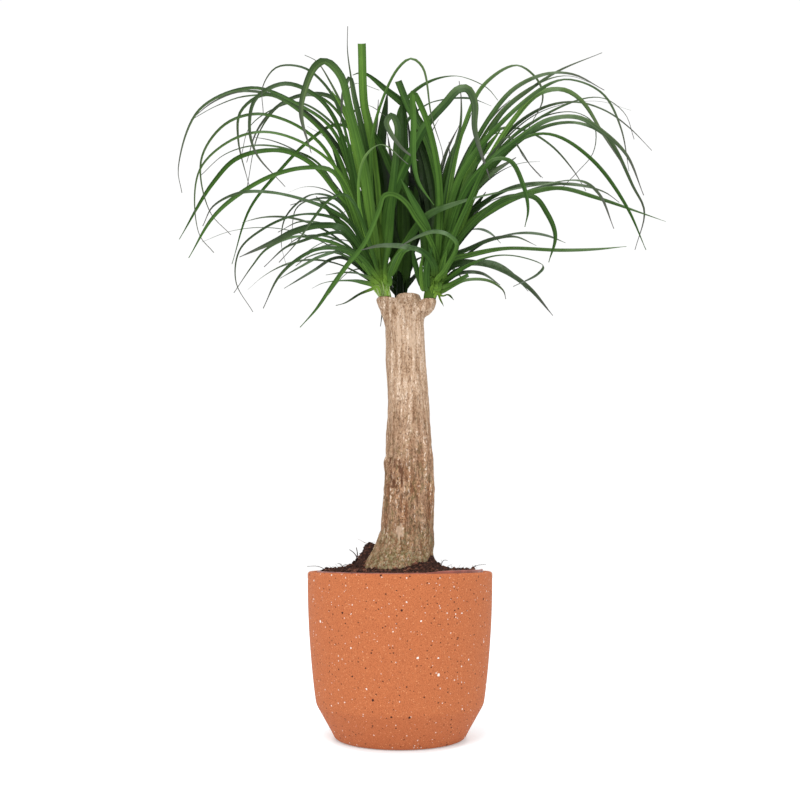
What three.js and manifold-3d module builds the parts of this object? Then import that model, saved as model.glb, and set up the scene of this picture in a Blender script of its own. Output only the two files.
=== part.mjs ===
// Potted ponytail palm: a thick sawn trunk with three leafy heads, in its nursery pot,
// standing inside a speckled terracotta-coloured pot with a chamfered foot.
// Millimetres, +Z up, origin at the centre of the pot's underside, -Y is the front.

import * as THREE from 'three';
import { mergeVertices } from 'three/addons/utils/BufferGeometryUtils.js';
import Module from 'manifold-3d';

const wasm = await Module();
wasm.setup();

// Driving dimensions
const CLEARANCE = 0.3; // between pieces that only touch
const MERGE_DISTANCE = 0.02; // edges shorter than this are closed up when solids are joined
const POT_HEIGHT = 163;
const POT_RADIUS = 94.4; // at the rim
const POT_WALL = 7;
const FOOT_RADIUS = 62; // flat ring that the pot stands on
const CHAMFER_TOP = 33; // height of the crease above the foot
const CREASE_RADIUS = 84;
const RIM_ROUND = 2.6;
const POT_SIDES = 42;

const LINER_RIM_RADIUS = 85; // a 170 mm nursery pot
const LINER_TOP = 164.5;
const LINER_WALL = 1.6;
const LINER_FLOOR = 2;
const LIP_HEIGHT = 12;
const DRAIN_HOLES = 6;
const DRAIN_RADIUS = 5;
const DRAIN_CIRCLE = 40;
const LINER_SIDES = 30;

const SOIL_LEVEL = 163.5;
const SOIL_RADIUS = 81.2; // at its top edge
const SOIL_SIDES = 28;
const MOUND_LEFT = 22; // how far the soil climbs the trunk on its left
const MOUND_RIGHT = 13;
const MOUND_FRONT = 0.1; // share of that in front of the trunk, which shows down to the rim
const MOUND_SPREAD = 12;
const SLOPE_RISE = 6; // of the flatter slope beyond the mound
const SLOPE_SPREAD = 30;

const TRUNK_SIDES = 20;
const TRUNK_GAP = 0.4; // all round the buried part
const TRUNK_TOP = 455.5;

const BLADE_THICKNESS = 0.7; // at the midrib of a very narrow blade
const KEEL_SHARE = 0.12; // of the width, what a wider blade's midrib adds to that
const TIP_WIDTH = 1.3;
const FULL_FROM = 0.1; // share of the length where the blade reaches its full width
const BASE_SWELL = 1.5; // a blade's width near its root over its width further out
const SWELL_TO = 0.5; // share of the length where the swell ends
const TAPER_FROM = 0.45;
const DEPTH_POWER = 1.2; // how a leaf gains depth along its length
const HEADROOM = 7; // least distance between leaves of different heads

// The eye that the leading leaves are placed from, in front of the pot.
const EYE_DISTANCE = 975;
const EYE_HEIGHT = 190;

// Trunk sections: height, centre x, radius. The first ones are the buried caudex.
const TRUNK_SECTIONS = [
  [64, 0, 12], [74, 0, 30], [92, 0, 41], [115, 0, 44], [140, -1, 41], [156, -1, 38],
  [168, -1, 36], [182, 2.4, 31.6], [193, 4.7, 29.3], [205, 6.8, 27.2], [245, 8.7, 26.5],
  [277, 9.9, 25], [299, 10, 23.9], [339, 9, 21.7], [382, 6.1, 21.1], [427, 4.4, 20.6],
  [440, 6, 19.4], [449, 8.4, 14.2], [TRUNK_TOP, 9, 12.6],
];
const FLUTES = [[3, 0.7, 0.4], [5, 0.5, 1.9], [8, 0.4, 0.3]]; // waves round the trunk, mm, phase

// Short side branches: foot point, top centre, foot radius, top radius. Each has a flat top.
const SPURS = [
  { foot: [-4, -3, 418], top: [-15.5, -6, 450.5], radii: [11, 10.7] },
  { foot: [19, -3, 433.5], top: [32, -6, 449], radii: [13.5, 8.8] },
  { foot: [4, 6, 422], top: [0, 23, 451], radii: [11, 7] },
];

// Roots under the caudex: azimuth in degrees, length.
const ROOTS = [[20, 30], [95, 26], [160, 32], [235, 28], [305, 30]];
const ROOT_RADIUS = 5;

// Leading leaves. through: points seen from the eye, as x and z in the upright plane through
// the pot's axis. depth: y at the tip, negative towards the front. width: of the blade.
// cut: the end was trimmed square.
const LEFT_LEAVES = [
  { depth: 15, width: 8, through: [[-72, 640], [-111, 673], [-166, 694], [-223, 668], [-244, 600], [-239, 571]] },
  { depth: 45, width: 5, through: [[-66, 620], [-123, 677], [-175, 690], [-208, 677], [-232, 656]] },
  { depth: 75, width: 4, through: [[-60, 612], [-128, 680], [-172, 684], [-205, 672], [-230, 657]] },
  { depth: -70, width: 6, through: [[-68, 668], [-85, 699], [-108, 718], [-137, 719], [-153, 696], [-152, 664]] },
  { depth: -45, width: 8.5,
    through: [[-72, 656], [-97, 687], [-129, 699], [-160, 682], [-167, 650], [-159, 617], [-126, 578]] },
  { depth: 30, width: 5, through: [[-72, 621], [-111, 666], [-150, 686], [-177, 666], [-179, 633], [-165, 577]] },
  { depth: 95, width: 6.5, through: [[-52, 640], [-77, 683], [-110, 685], [-136, 672], [-158, 644], [-169, 606]] },
  { depth: 120, width: 4, through: [[-50, 632], [-92, 684], [-130, 676], [-156, 641], [-168, 577]] },
  { depth: 110, width: 3.5, through: [[-55, 625], [-111, 676], [-142, 668], [-167, 647], [-175, 614]] },
  { depth: -30, width: 4.5,
    through: [[-76, 610], [-96, 636], [-128, 656], [-162, 663], [-195, 650], [-219, 610], [-208, 550], [-184, 523]] },
  { depth: -60, width: 4.5,
    through: [[-66, 594], [-109, 630], [-153, 642], [-190, 630], [-221, 596], [-219, 525], [-202, 503]] },
  { depth: 90, width: 4, through: [[-88, 603], [-122, 621], [-160, 626], [-194, 615], [-219, 591]] },
  { depth: -15, width: 5.5,
    through: [[-49, 546], [-70, 573], [-94, 602], [-130, 620], [-178, 612], [-205, 583], [-240, 518]] },
  { depth: -90, width: 5.5,
    through: [[-60, 575], [-76, 597], [-105, 600], [-140, 591], [-177, 569], [-204, 543], [-229, 497]] },
  { depth: -120, width: 5.5,
    through: [[-51, 533], [-73, 550], [-104, 563], [-143, 572], [-176, 571], [-204, 556], [-215, 533]] },
  { depth: 60, width: 5, through: [[-48, 640], [-72, 650], [-100, 632], [-132, 597], [-164, 553], [-182, 490]] },
  { depth: 75, width: 3.5,
    through: [[-60, 535], [-86, 546], [-116, 545], [-149, 530], [-174, 506], [-177, 470], [-158, 437]] },
  { depth: -140, width: 9, through: [[-60, 529], [-86, 534], [-115, 527], [-136, 516], [-174, 498]] },
  { depth: 35, width: 4.5, through: [[-60, 508], [-86, 518], [-115, 521], [-145, 507], [-160, 488], [-179, 458]] },
  { depth: -110, width: 4.5, through: [[-60, 524], [-82, 524], [-107, 516], [-124, 509], [-147, 487]] },
  { depth: -150, width: 5, through: [[-45, 500], [-67, 508], [-90, 507], [-112, 495], [-131, 476], [-147, 441]] },
  { depth: 95, width: 4.5, through: [[-60, 504], [-86, 499], [-108, 487], [-130, 474]] },
  { depth: 130, width: 4.5, through: [[-60, 497], [-74, 496], [-92, 484], [-125, 463]] },
  { depth: -60, width: 4.5, through: [[-40, 478], [-59, 481], [-80, 478]] },
  { depth: 60, width: 4.5, through: [[-40, 470], [-59, 472], [-83, 469], [-95, 463]] },
  { depth: -40, width: 4, through: [[-31, 462], [-43, 457], [-59, 447], [-69, 444]] },
  { depth: -190, width: 4.5, through: [[-49, 557], [-61, 569], [-76, 564], [-97, 538], [-111, 516], [-131, 492]] },
  { depth: 110, width: 4, through: [[-61, 555], [-79, 568], [-100, 568], [-125, 543], [-129, 514], [-123, 488]] },
  { depth: 170, width: 3.5, through: [[-60, 560], [-98, 563], [-114, 552], [-118, 514]] },
  { depth: 40, width: 4.5, through: [[-27, 563], [-55, 650], [-77, 699], [-94, 726], [-107, 733]] },
  { depth: -110, width: 10,
    through: [[-39, 598], [-56, 670], [-66, 708], [-83, 726], [-94, 721], [-107, 690], [-110, 662], [-98, 617]] },
  { depth: 10, width: 4, through: [[-37, 598], [-55, 708], [-59, 739], [-59, 768]] },
  { depth: -40, width: 8, through: [[-33, 598], [-50, 680], [-56, 706], [-63, 690], [-66, 650]] },
  { depth: -25, width: 9, cut: true, through: [[-25, 560], [-34, 644], [-40, 675], [-43, 747]] },
  { depth: -60, width: 11,
    through: [[-15, 517], [-10, 562], [14, 621], [29, 650], [50, 675], [68, 693], [83, 680], [83, 644], [99, 586]] },
  { depth: -45, width: 9,
    through: [[-14, 520], [-10, 562], [0, 621], [1, 660], [-8, 669], [-15, 661], [-10, 649], [3, 626], [20, 608]] },
  { depth: -70, width: 5.5,
    through: [[-32, 621], [-24, 666], [-3, 716], [12, 729], [25, 719], [35, 660], [47, 617], [47, 603]] },
  { depth: -25, width: 7, cut: true, through: [[-10, 480], [3, 505], [12, 510]] },
  { depth: -120, width: 7,
    through: [[-8, 490], [27, 543], [60, 559], [119, 574], [153, 580], [199, 585], [218, 570], [233, 530]] },
  { depth: 60, width: 5, through: [[-42, 600], [-54, 662], [-36, 673], [-11, 656]] },
  { depth: 35, width: 3.5, through: [[-45, 600], [-60, 685], [-50, 699], [-23, 691]] },
  { depth: -100, width: 4, through: [[-45, 560], [-40, 610], [-22, 627], [9, 604]] },
  { depth: -35, width: 9, through: [[-24, 520], [-44, 600], [-58, 660], [-76, 690]] },
  { depth: 20, width: 8, through: [[-22, 520], [-34, 602], [-26, 650], [-24, 680]] },
];

const RIGHT_LEAVES = [
  { depth: -150, width: 10,
    through: [[38, 486], [37, 515], [30, 537], [19, 556], [3, 568], [-12, 571], [-19, 566], [-25, 545],
      [-51, 497], [-104, 425]] },
  { depth: -100, width: 5.5, through: [[37, 488], [26, 503], [10, 509], [-20, 511], [-42, 506]] },
  { depth: -130, width: 5, through: [[50, 485], [62, 512], [53, 523], [38, 527], [21, 522], [0, 510]] },
  { depth: -60, width: 7, through: [[36, 495], [30, 530], [12, 566], [1, 587]] },
  { depth: -20, width: 9,
    through: [[60, 515], [73, 533], [103, 555], [136, 570], [175, 577], [215, 566], [264, 548], [290, 538]] },
  { depth: 60, width: 5, through: [[60, 530], [125, 578], [194, 580], [224, 572], [240, 560]] },
  { depth: -130, width: 6,
    through: [[44, 560], [40, 610], [28, 660], [15, 688], [15, 655], [15, 610], [20, 584], [37, 557]] },
  { depth: 20, width: 11,
    through: [[47, 516], [56, 590], [71, 649], [94, 698], [131, 721], [154, 703], [159, 680], [143, 647]] },
  { depth: 30, width: 4.5, through: [[77, 586], [112, 662], [145, 692], [177, 714], [227, 736]] },
  { depth: -40, width: 5.5, through: [[70, 600], [105, 667], [130, 695], [165, 711], [194, 710], [228, 691]] },
  { depth: 40, width: 4, through: [[72, 596], [118, 672], [165, 704], [190, 708], [215, 699]] },
  { depth: -80, width: 5.5,
    through: [[66, 590], [134, 674], [177, 703], [203, 701], [228, 685], [245, 646], [252, 596]] },
  { depth: -15, width: 9,
    through: [[95, 603], [126, 656], [156, 688], [182, 692], [202, 679], [226, 637], [246, 602]] },
  { depth: 85, width: 4.5,
    through: [[80, 580], [122, 644], [163, 672], [198, 677], [230, 666], [255, 646], [278, 620]] },
  { depth: 120, width: 3.5, through: [[85, 590], [150, 662], [218, 678], [257, 667]] },
  { depth: 60, width: 3.5, through: [[100, 610], [180, 672], [225, 682], [250, 663], [259, 633]] },
  { depth: -110, width: 5.5,
    through: [[75, 580], [137, 639], [167, 657], [198, 659], [226, 641], [250, 615], [267, 568]] },
  { depth: 50, width: 6,
    through: [[80, 570], [130, 630], [166, 650], [200, 652], [229, 636], [256, 578], [267, 550], [255, 506]] },
  { depth: -50, width: 6.5,
    through: [[77, 569], [96, 600], [128, 630], [155, 640], [179, 635], [216, 605], [248, 555], [267, 506]] },
  { depth: 110, width: 4.5, through: [[70, 590], [110, 645], [138, 644], [167, 626], [190, 598], [204, 573]] },
  { depth: 140, width: 3.5, through: [[68, 590], [105, 640], [126, 633], [136, 613], [157, 588]] },
  { depth: -160, width: 5.5, through: [[75, 560], [100, 608], [120, 609], [135, 581], [140, 552], [136, 532]] },
  { depth: -130, width: 6.5, through: [[65, 520], [110, 562], [145, 567], [161, 547], [169, 522], [161, 492]] },
  { depth: 80, width: 5.5, through: [[54, 498], [73, 507], [102, 519], [126, 521], [148, 511]] },
  { depth: -60, width: 4.5, through: [[54, 494], [77, 501], [114, 508], [174, 506], [213, 507], [246, 510]] },
  { depth: -140, width: 4.5,
    through: [[45, 471], [72, 488], [100, 499], [127, 499], [155, 488], [149, 479], [122, 465]] },
  { depth: 60, width: 6.5, through: [[55, 489], [82, 492], [114, 482], [140, 463], [164, 433]] },
  { depth: 120, width: 4.5, through: [[50, 472], [64, 480], [88, 480], [108, 467]] },
  { depth: -40, width: 4.5, through: [[41, 460], [68, 472], [95, 472], [111, 461], [114, 451]] },
  { depth: -30, width: 6, cut: true, through: [[45, 465], [74, 478]] },
  { depth: 60, width: 9.5, through: [[44, 534], [39, 605], [18, 659], [-16, 692], [-42, 712], [-53, 709]] },
  { depth: 28, width: 8, cut: true, through: [[43, 570], [38, 602], [29, 633], [11, 668], [-2, 702]] },
  { depth: 10, width: 4, through: [[45, 540], [60, 620], [67, 650], [68, 684], [66, 702]] },
  { depth: 15, width: 8, through: [[48, 530], [72, 590], [112, 645]] },
  { depth: -20, width: 8, through: [[50, 520], [84, 580], [128, 612]] },
  { depth: 40, width: 8, through: [[40, 520], [52, 600], [80, 665]] },
];

const BACK_LEAVES = [
  { depth: 62, width: 8, through: [[3, 490], [4, 540], [-8, 600], [-14, 640]] },
  { depth: 75, width: 8, through: [[8, 500], [24, 560], [30, 610], [24, 650]] },
  { depth: 80, width: 7, through: [[6, 500], [34, 560], [52, 620], [66, 650]] },
  { depth: 80, width: 7, through: [[-8, 503], [-22, 570], [-34, 640]] },
  { depth: 85, width: 8, through: [[-2, 504], [12, 570], [10, 640], [4, 680]] },
  { depth: 60, width: 7, through: [[10, 500], [30, 545], [42, 590]] },
  { depth: 110, width: 3.5, through: [[0, 600], [0, 668], [28, 699], [63, 708], [97, 694], [109, 679]] },
  { depth: 95, width: 5.5, through: [[0, 580], [5, 650], [28, 673], [54, 681], [80, 681], [102, 672]] },
  { depth: 70, width: 4, through: [[12, 474], [24, 480], [36, 474]] },
  { depth: 90, width: 4, through: [[8, 476], [18, 495], [34, 500]] },
  { depth: 60, width: 4, through: [[-8, 470], [-17, 446], [-21, 421]] },
];

// Each head: its own core standing on a spur, its leading leaves, and the fill leaves on the
// side that the leading ones leave bare, from one azimuth to another in degrees.
const HEADS = [
  { name: 'crown_left', spur: 0, lean: [-0.2, -0.06], leaves: LEFT_LEAVES, azimuths: [98, 158], fill: 10, seed: 11 },
  { name: 'crown_right', spur: 1, lean: [0.2, -0.06], leaves: RIGHT_LEAVES, azimuths: [22, 82], fill: 10, seed: 31 },
  { name: 'crown_back', spur: 2, lean: [0, 0.2], leaves: BACK_LEAVES, azimuths: [55, 125], fill: 12, seed: 47 },
];
const CORE_RADII = [[0, 0.9], [16, 1], [34, 0.86], [52, 0.5], [66, 0.2]]; // height, share of the spur
const CORE_SIDES = 9;
const FILL_LENGTH = [200, 300];
const FILL_TILT = [8, 50]; // of the first and the last fill leaf, from the vertical, at the root
const FILL_DROOP = [45, 108]; // at the tip
const FILL_WIDTH = [7, 4.5];
const BEND_POWER = 1.3;

const DEGREE = Math.PI / 180;
const UP = new THREE.Vector3(0, 0, 1);
const FRONT = new THREE.Vector3(0, -1, 0);

// Repeatable numbers from 0 to 1, the same in any language with 32-bit remainders.
function randomFrom(seed) {
  let state = seed;
  return () => {
    state = (state * 16807) % 2147483647;
    return state / 2147483647;
  };
}

function mix(from, to, share) {
  return from + (to - from) * share;
}

// A closed skin over rings of points, all with the same count, with a fan at either end.
function skinOver(rings) {
  const sides = rings[0].length;
  const places = rings.flat().flatMap((point) => [point.x, point.y, point.z]);
  const centres = [rings[0], rings[rings.length - 1]].map((ring) =>
    ring.reduce((sum, point) => sum.add(point), new THREE.Vector3()).divideScalar(sides));
  centres.forEach((centre) => places.push(centre.x, centre.y, centre.z));
  const [first, last] = [rings.length * sides, rings.length * sides + 1];
  const faces = [];
  for (let side = 0; side < sides; side += 1) {
    const next = (side + 1) % sides;
    for (let ring = 0; ring + 1 < rings.length; ring += 1) {
      const [a, b] = [ring * sides + side, ring * sides + next];
      faces.push(a, b, b + sides, a, b + sides, a + sides);
    }
    const top = (rings.length - 1) * sides;
    faces.push(first, next, side, last, top + side, top + next);
  }
  const geometry = new THREE.BufferGeometry();
  geometry.setAttribute('position', new THREE.Float32BufferAttribute(places, 3));
  geometry.setIndex(faces);
  return geometry;
}

function solidOf(geometry) {
  const bare = geometry.clone();
  bare.deleteAttribute('normal');
  bare.deleteAttribute('uv');
  const merged = mergeVertices(bare, 1e-4);
  return new wasm.Manifold(new wasm.Mesh({
    numProp: 3,
    vertProperties: new Float32Array(merged.attributes.position.array),
    triVerts: new Uint32Array(merged.index.array),
    tolerance: MERGE_DISTANCE,
  }));
}

// The largest body of a solid: loose scraps and sealed pockets are dropped.
function geometryOf(solid) {
  const bodies = solid.decompose();
  const body = bodies.reduce((best, one) => (one.volume() > best.volume() ? one : best));
  const mesh = body.getMesh();
  const geometry = new THREE.BufferGeometry();
  geometry.setAttribute('position', new THREE.BufferAttribute(mesh.vertProperties, 3));
  geometry.setIndex(new THREE.BufferAttribute(mesh.triVerts, 1));
  geometry.computeVertexNormals();
  return geometry;
}

function lathe(profile, sides) {
  const points = profile.map(([radius, height]) => new THREE.Vector2(radius, height));
  return new THREE.LatheGeometry(points, sides).rotateX(Math.PI / 2);
}

function potOuterRadius(height) {
  const rise = (height - CHAMFER_TOP) / (POT_HEIGHT - CHAMFER_TOP);
  return CREASE_RADIUS + (POT_RADIUS - CREASE_RADIUS) * Math.sin(rise * Math.PI / 2) ** 0.85;
}

function buildPot() {
  const crease = CHAMFER_TOP;
  const wallHeights = [60, 95, 130, POT_HEIGHT - RIM_ROUND];
  const outer = wallHeights.map((height) => [potOuterRadius(height), height]);
  const inner = wallHeights.map((height) => [potOuterRadius(height) - POT_WALL, height]).reverse();
  const profile = [
    [0, 0], [FOOT_RADIUS, 0], [FOOT_RADIUS + 4, 2.4], [FOOT_RADIUS + 5, 4.6],
    [CREASE_RADIUS, crease], ...outer,
    [POT_RADIUS - 0.8, POT_HEIGHT - 0.8], [POT_RADIUS - RIM_ROUND, POT_HEIGHT],
    [POT_RADIUS - POT_WALL + RIM_ROUND, POT_HEIGHT], [POT_RADIUS - POT_WALL + 0.8, POT_HEIGHT - 0.8],
    ...inner, [CREASE_RADIUS - POT_WALL, crease + 2], [FOOT_RADIUS + 5, POT_WALL + 7],
    [FOOT_RADIUS - 1, POT_WALL], [0, POT_WALL],
  ];
  return lathe(profile, POT_SIDES);
}

function linerRadius(height) {
  return mix(58, 80.5, (height - POT_WALL) / (LINER_TOP - LIP_HEIGHT - POT_WALL));
}

function buildLiner() {
  const bottom = POT_WALL + CLEARANCE;
  const lipFoot = LINER_TOP - LIP_HEIGHT;
  const profile = [
    [0, bottom], [linerRadius(bottom), bottom], [linerRadius(90), 90], [linerRadius(lipFoot), lipFoot],
    [LINER_RIM_RADIUS - 0.6, lipFoot], [LINER_RIM_RADIUS, lipFoot + 1.5],
    [LINER_RIM_RADIUS, LINER_TOP - 0.6], [LINER_RIM_RADIUS - 0.6, LINER_TOP],
    [LINER_RIM_RADIUS - 1.8, LINER_TOP], [LINER_RIM_RADIUS - 2.4, LINER_TOP - 0.8],
    [linerRadius(lipFoot) - LINER_WALL, lipFoot - 2], [linerRadius(90) - LINER_WALL, 90],
    [linerRadius(bottom + LINER_FLOOR) - LINER_WALL, bottom + LINER_FLOOR], [0, bottom + LINER_FLOOR],
  ];
  let liner = solidOf(lathe(profile, LINER_SIDES));
  for (let hole = 0; hole < DRAIN_HOLES; hole += 1) {
    const turn = (hole / DRAIN_HOLES) * 2 * Math.PI;
    const bore = new THREE.CylinderGeometry(DRAIN_RADIUS, DRAIN_RADIUS, LINER_FLOOR * 4, 8)
      .rotateX(Math.PI / 2)
      .translate(DRAIN_CIRCLE * Math.cos(turn), DRAIN_CIRCLE * Math.sin(turn), bottom + LINER_FLOOR / 2);
    liner = liner.subtract(solidOf(bore));
  }
  return geometryOf(liner);
}

// The trunk, its spurs and its roots, all grown by the same margin where it is asked for.
function trunkSolid(margin) {
  const rings = TRUNK_SECTIONS.map(([height, centre, radius]) => {
    const ring = [];
    for (let side = 0; side < TRUNK_SIDES; side += 1) {
      const turn = (side / TRUNK_SIDES) * 2 * Math.PI;
      const wave = FLUTES.reduce((sum, [count, size, phase]) =>
        sum + size * Math.sin(count * turn + phase + height * 0.011 * count), 0);
      const reach = radius + margin + wave * Math.min(1, radius / 26);
      ring.push(new THREE.Vector3(centre + reach * Math.cos(turn), reach * Math.sin(turn), height));
    }
    return ring;
  });
  rings[0].forEach((point) => point.setZ(point.z - margin));
  let trunk = solidOf(skinOver(rings));
  for (const [azimuth, length] of ROOTS) {
    const out = new THREE.Vector3(Math.cos(azimuth * DEGREE), Math.sin(azimuth * DEGREE), -0.9).normalize();
    const foot = out.clone().multiplyScalar(20).add(new THREE.Vector3(0, 0, 92));
    const root = taperedRod(foot, foot.clone().addScaledVector(out, 12 + length + margin),
      ROOT_RADIUS + 1 + margin, ROOT_RADIUS * 0.5 + margin, 7, false);
    trunk = trunk.add(solidOf(root));
  }
  return trunk;
}

// A round rod between two points. With level ends its end faces are horizontal.
function taperedRod(from, to, firstRadius, lastRadius, sides, levelEnds) {
  const along = to.clone().sub(from).normalize();
  const acrossX = levelEnds ? new THREE.Vector3(1, 0, 0)
    : new THREE.Vector3(0, 0, 1).cross(along).normalize();
  const acrossY = levelEnds ? new THREE.Vector3(0, 1, 0) : along.clone().cross(acrossX);
  const rings = [[from, firstRadius], [to, lastRadius]].map(([centre, radius]) => {
    const ring = [];
    for (let side = 0; side < sides; side += 1) {
      const turn = (side / sides) * 2 * Math.PI;
      ring.push(centre.clone().addScaledVector(acrossX, radius * Math.cos(turn))
        .addScaledVector(acrossY, radius * Math.sin(turn)));
    }
    return ring;
  });
  return skinOver(rings);
}

function buildTrunk() {
  let trunk = trunkSolid(0);
  for (const { foot, top, radii } of SPURS) {
    const spur = taperedRod(new THREE.Vector3(...foot), new THREE.Vector3(...top), radii[0], radii[1], 14, true);
    trunk = trunk.add(solidOf(spur));
  }
  return geometryOf(trunk);
}

function soilHeight(x, y) {
  const distance = Math.hypot(x + 1, y);
  const left = 0.5 - 0.5 * x / Math.max(distance, 1);
  const back = THREE.MathUtils.smoothstep(y, -10, 10);
  const fall = Math.max(0, distance - 32);
  const mound = mix(MOUND_RIGHT, MOUND_LEFT, left) * Math.exp(-((fall / MOUND_SPREAD) ** 2))
    + SLOPE_RISE * left * Math.exp(-((fall / SLOPE_SPREAD) ** 2));
  const crumbs = 0.5 * Math.sin(x * 0.21 + 1) * Math.cos(y * 0.17) + 0.4 * Math.sin(x * 0.43 + y * 0.37);
  return SOIL_LEVEL + mound * mix(MOUND_FRONT, 1, back) + crumbs;
}

function buildSoil() {
  const bottom = POT_WALL + 2 * CLEARANCE + LINER_FLOOR;
  const wall = (height) => linerRadius(height) - LINER_WALL - CLEARANCE - 0.2;
  const circle = (radius, heightAt) => {
    const ring = [];
    for (let side = 0; side < SOIL_SIDES; side += 1) {
      const turn = (side / SOIL_SIDES) * 2 * Math.PI;
      const [x, y] = [radius * Math.cos(turn), radius * Math.sin(turn)];
      ring.push(new THREE.Vector3(x, y, heightAt(x, y)));
    }
    return ring;
  };
  const rings = [
    circle(wall(bottom), () => bottom), circle(wall(90), () => 90), circle(wall(150), () => 150),
    ...[SOIL_RADIUS, 66, 54, 46, 40, 34, 20].map((radius) => circle(radius, soilHeight)),
  ];
  return geometryOf(solidOf(skinOver(rings)).subtract(trunkSolid(TRUNK_GAP)));
}

// A point seen from the eye at x and z in the plane of the pot's axis, moved to depth y.
function placeSeen([x, z], y) {
  const scale = (EYE_DISTANCE + y) / EYE_DISTANCE;
  return new THREE.Vector3(x * scale, y, EYE_HEIGHT + (z - EYE_HEIGHT) * scale);
}

// Where a head's leaves start: low at the outside for spreading ones, high for erect ones.
function rootsOf(head, target) {
  const [x, y, z] = SPURS[head.spur].top;
  const away = target.clone().sub(new THREE.Vector3(x, y, z));
  const rise = away.z / away.length();
  const flat = new THREE.Vector3(away.x, away.y, 0);
  flat.divideScalar(Math.max(flat.length(), 1));
  const height = mix(7, 34, Math.max(0, rise) ** 2);
  const start = new THREE.Vector3(x + head.lean[0] * height, y + head.lean[1] * height, z + height)
    .addScaledVector(flat, 2.5);
  const neck = start.clone().addScaledVector(flat, 6).add(new THREE.Vector3(0, 0, mix(5, 13, Math.max(0, rise))));
  return [start, neck];
}

function leadingPath(head, leaf) {
  const [rootX, rootY, rootZ] = SPURS[head.spur].top;
  const stations = [0];
  let before = [rootX, rootZ];
  leaf.through.forEach((point) => {
    stations.push(stations[stations.length - 1] + Math.hypot(point[0] - before[0], point[1] - before[1]));
    before = point;
  });
  const total = stations[stations.length - 1];
  const points = leaf.through.map((point, index) =>
    placeSeen(point, mix(rootY, leaf.depth, (stations[index + 1] / total) ** DEPTH_POWER)));
  return [...rootsOf(head, points[0]), ...points];
}

function fillPath(head, rank, random) {
  const count = head.fill;
  const share = rank / (count - 1);
  const azimuth = mix(head.azimuths[0], head.azimuths[1], (rank * 0.618034 + 0.5 * random() / count) % 1) * DEGREE;
  const out = new THREE.Vector3(Math.cos(azimuth), Math.sin(azimuth), 0);
  const length = mix(FILL_LENGTH[0], FILL_LENGTH[1], 0.35 + 0.65 * Math.sin(share * 2.4) * random() ** 0.4);
  const tilt = mix(FILL_TILT[0], FILL_TILT[1], share) + 8 * (random() - 0.5);
  const droop = mix(FILL_DROOP[0], FILL_DROOP[1], share ** 0.6) + 14 * (random() - 0.5);
  const [x, y, z] = SPURS[head.spur].top;
  const height = mix(34, 9, share);
  let place = new THREE.Vector3(x + head.lean[0] * height, y + head.lean[1] * height, z + height)
    .addScaledVector(out, 2.5);
  const path = [place];
  const steps = 8;
  for (let step = 0; step < steps; step += 1) {
    const angle = mix(tilt, droop, ((step + 0.5) / steps) ** BEND_POWER) * DEGREE;
    place = place.clone().addScaledVector(out, (length / steps) * Math.sin(angle))
      .add(new THREE.Vector3(0, 0, (length / steps) * Math.cos(angle)));
    path.push(place);
  }
  return { path, width: mix(FILL_WIDTH[0], FILL_WIDTH[1], random()), face: new THREE.Vector3(-out.y, out.x, 0) };
}

function smoothCurve(points) {
  return new THREE.CatmullRomCurve3(points, false, 'centripetal');
}

function widthAt(share, leaf) {
  const rise = Math.min(1, mix(0.5, 1, share / FULL_FROM)) * mix(BASE_SWELL, 1, Math.min(1, share / SWELL_TO) ** 2);
  const fall = leaf.cut ? 1 : 1 - Math.max(0, (share - TAPER_FROM) / (1 - TAPER_FROM)) ** 1.35;
  return Math.max(TIP_WIDTH, leaf.width * rise * fall);
}

// A blade along a curve: flat above and keeled below, twisting slowly along its length. face is
// the way that the blade looks at roll 0.
function bladeSolid(curve, leaf, face, roll, twist) {
  const turning = turningOf(curve);
  const steps = Math.round(Math.min(9, Math.max(3, 3.2 + turning / 36)));
  const side = Math.sign(curve.getPointAt(1).clone().sub(curve.getPointAt(0)).dot(face.clone().cross(UP))) || 1;
  const rings = [];
  for (let step = 0; step <= steps; step += 1) {
    const share = step / steps;
    const centre = curve.getPointAt(share);
    const along = curve.getTangentAt(share);
    const angle = (roll + twist * share) * DEGREE;
    const flat = along.clone().cross(face).normalize();
    const square = flat.clone().cross(along).normalize();
    const across = flat.multiplyScalar(Math.cos(angle)).addScaledVector(square, Math.sin(angle));
    const upper = across.clone().cross(along).normalize().multiplyScalar(side);
    const width = widthAt(share, leaf);
    const keel = centre.clone().addScaledVector(upper, -BLADE_THICKNESS - KEEL_SHARE * width);
    const left = centre.clone().addScaledVector(across, -width / 2);
    const right = centre.clone().addScaledVector(across, width / 2);
    rings.push(side > 0 ? [keel, right, left] : [keel, left, right]);
  }
  return solidOf(bladeSkin(rings));
}

// The skin of a three-cornered blade, keel first. Both faces are split the same way.
function bladeSkin(rings) {
  const places = rings.flat().flatMap((point) => [point.x, point.y, point.z]);
  const faces = [];
  for (let ring = 0; ring + 1 < rings.length; ring += 1) {
    const [keel, left, right] = [0, 1, 2].map((corner) => ring * 3 + corner);
    faces.push(left, keel, keel + 3, left, keel + 3, left + 3);
    faces.push(right, left, left + 3, right, left + 3, right + 3);
    faces.push(keel, right, keel + 3, right, right + 3, keel + 3);
  }
  const last = (rings.length - 1) * 3;
  faces.push(0, 1, 2, last, last + 2, last + 1);
  const geometry = new THREE.BufferGeometry();
  geometry.setAttribute('position', new THREE.Float32BufferAttribute(places, 3));
  geometry.setIndex(faces);
  return geometry;
}

function turningOf(curve) {
  let turning = 0;
  let before = curve.getTangentAt(0);
  for (let step = 1; step <= 12; step += 1) {
    const now = curve.getTangentAt(step / 12);
    turning += before.angleTo(now) / DEGREE;
    before = now;
  }
  return turning;
}

const placedLeaves = []; // { head, points }, of all heads so far

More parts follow.
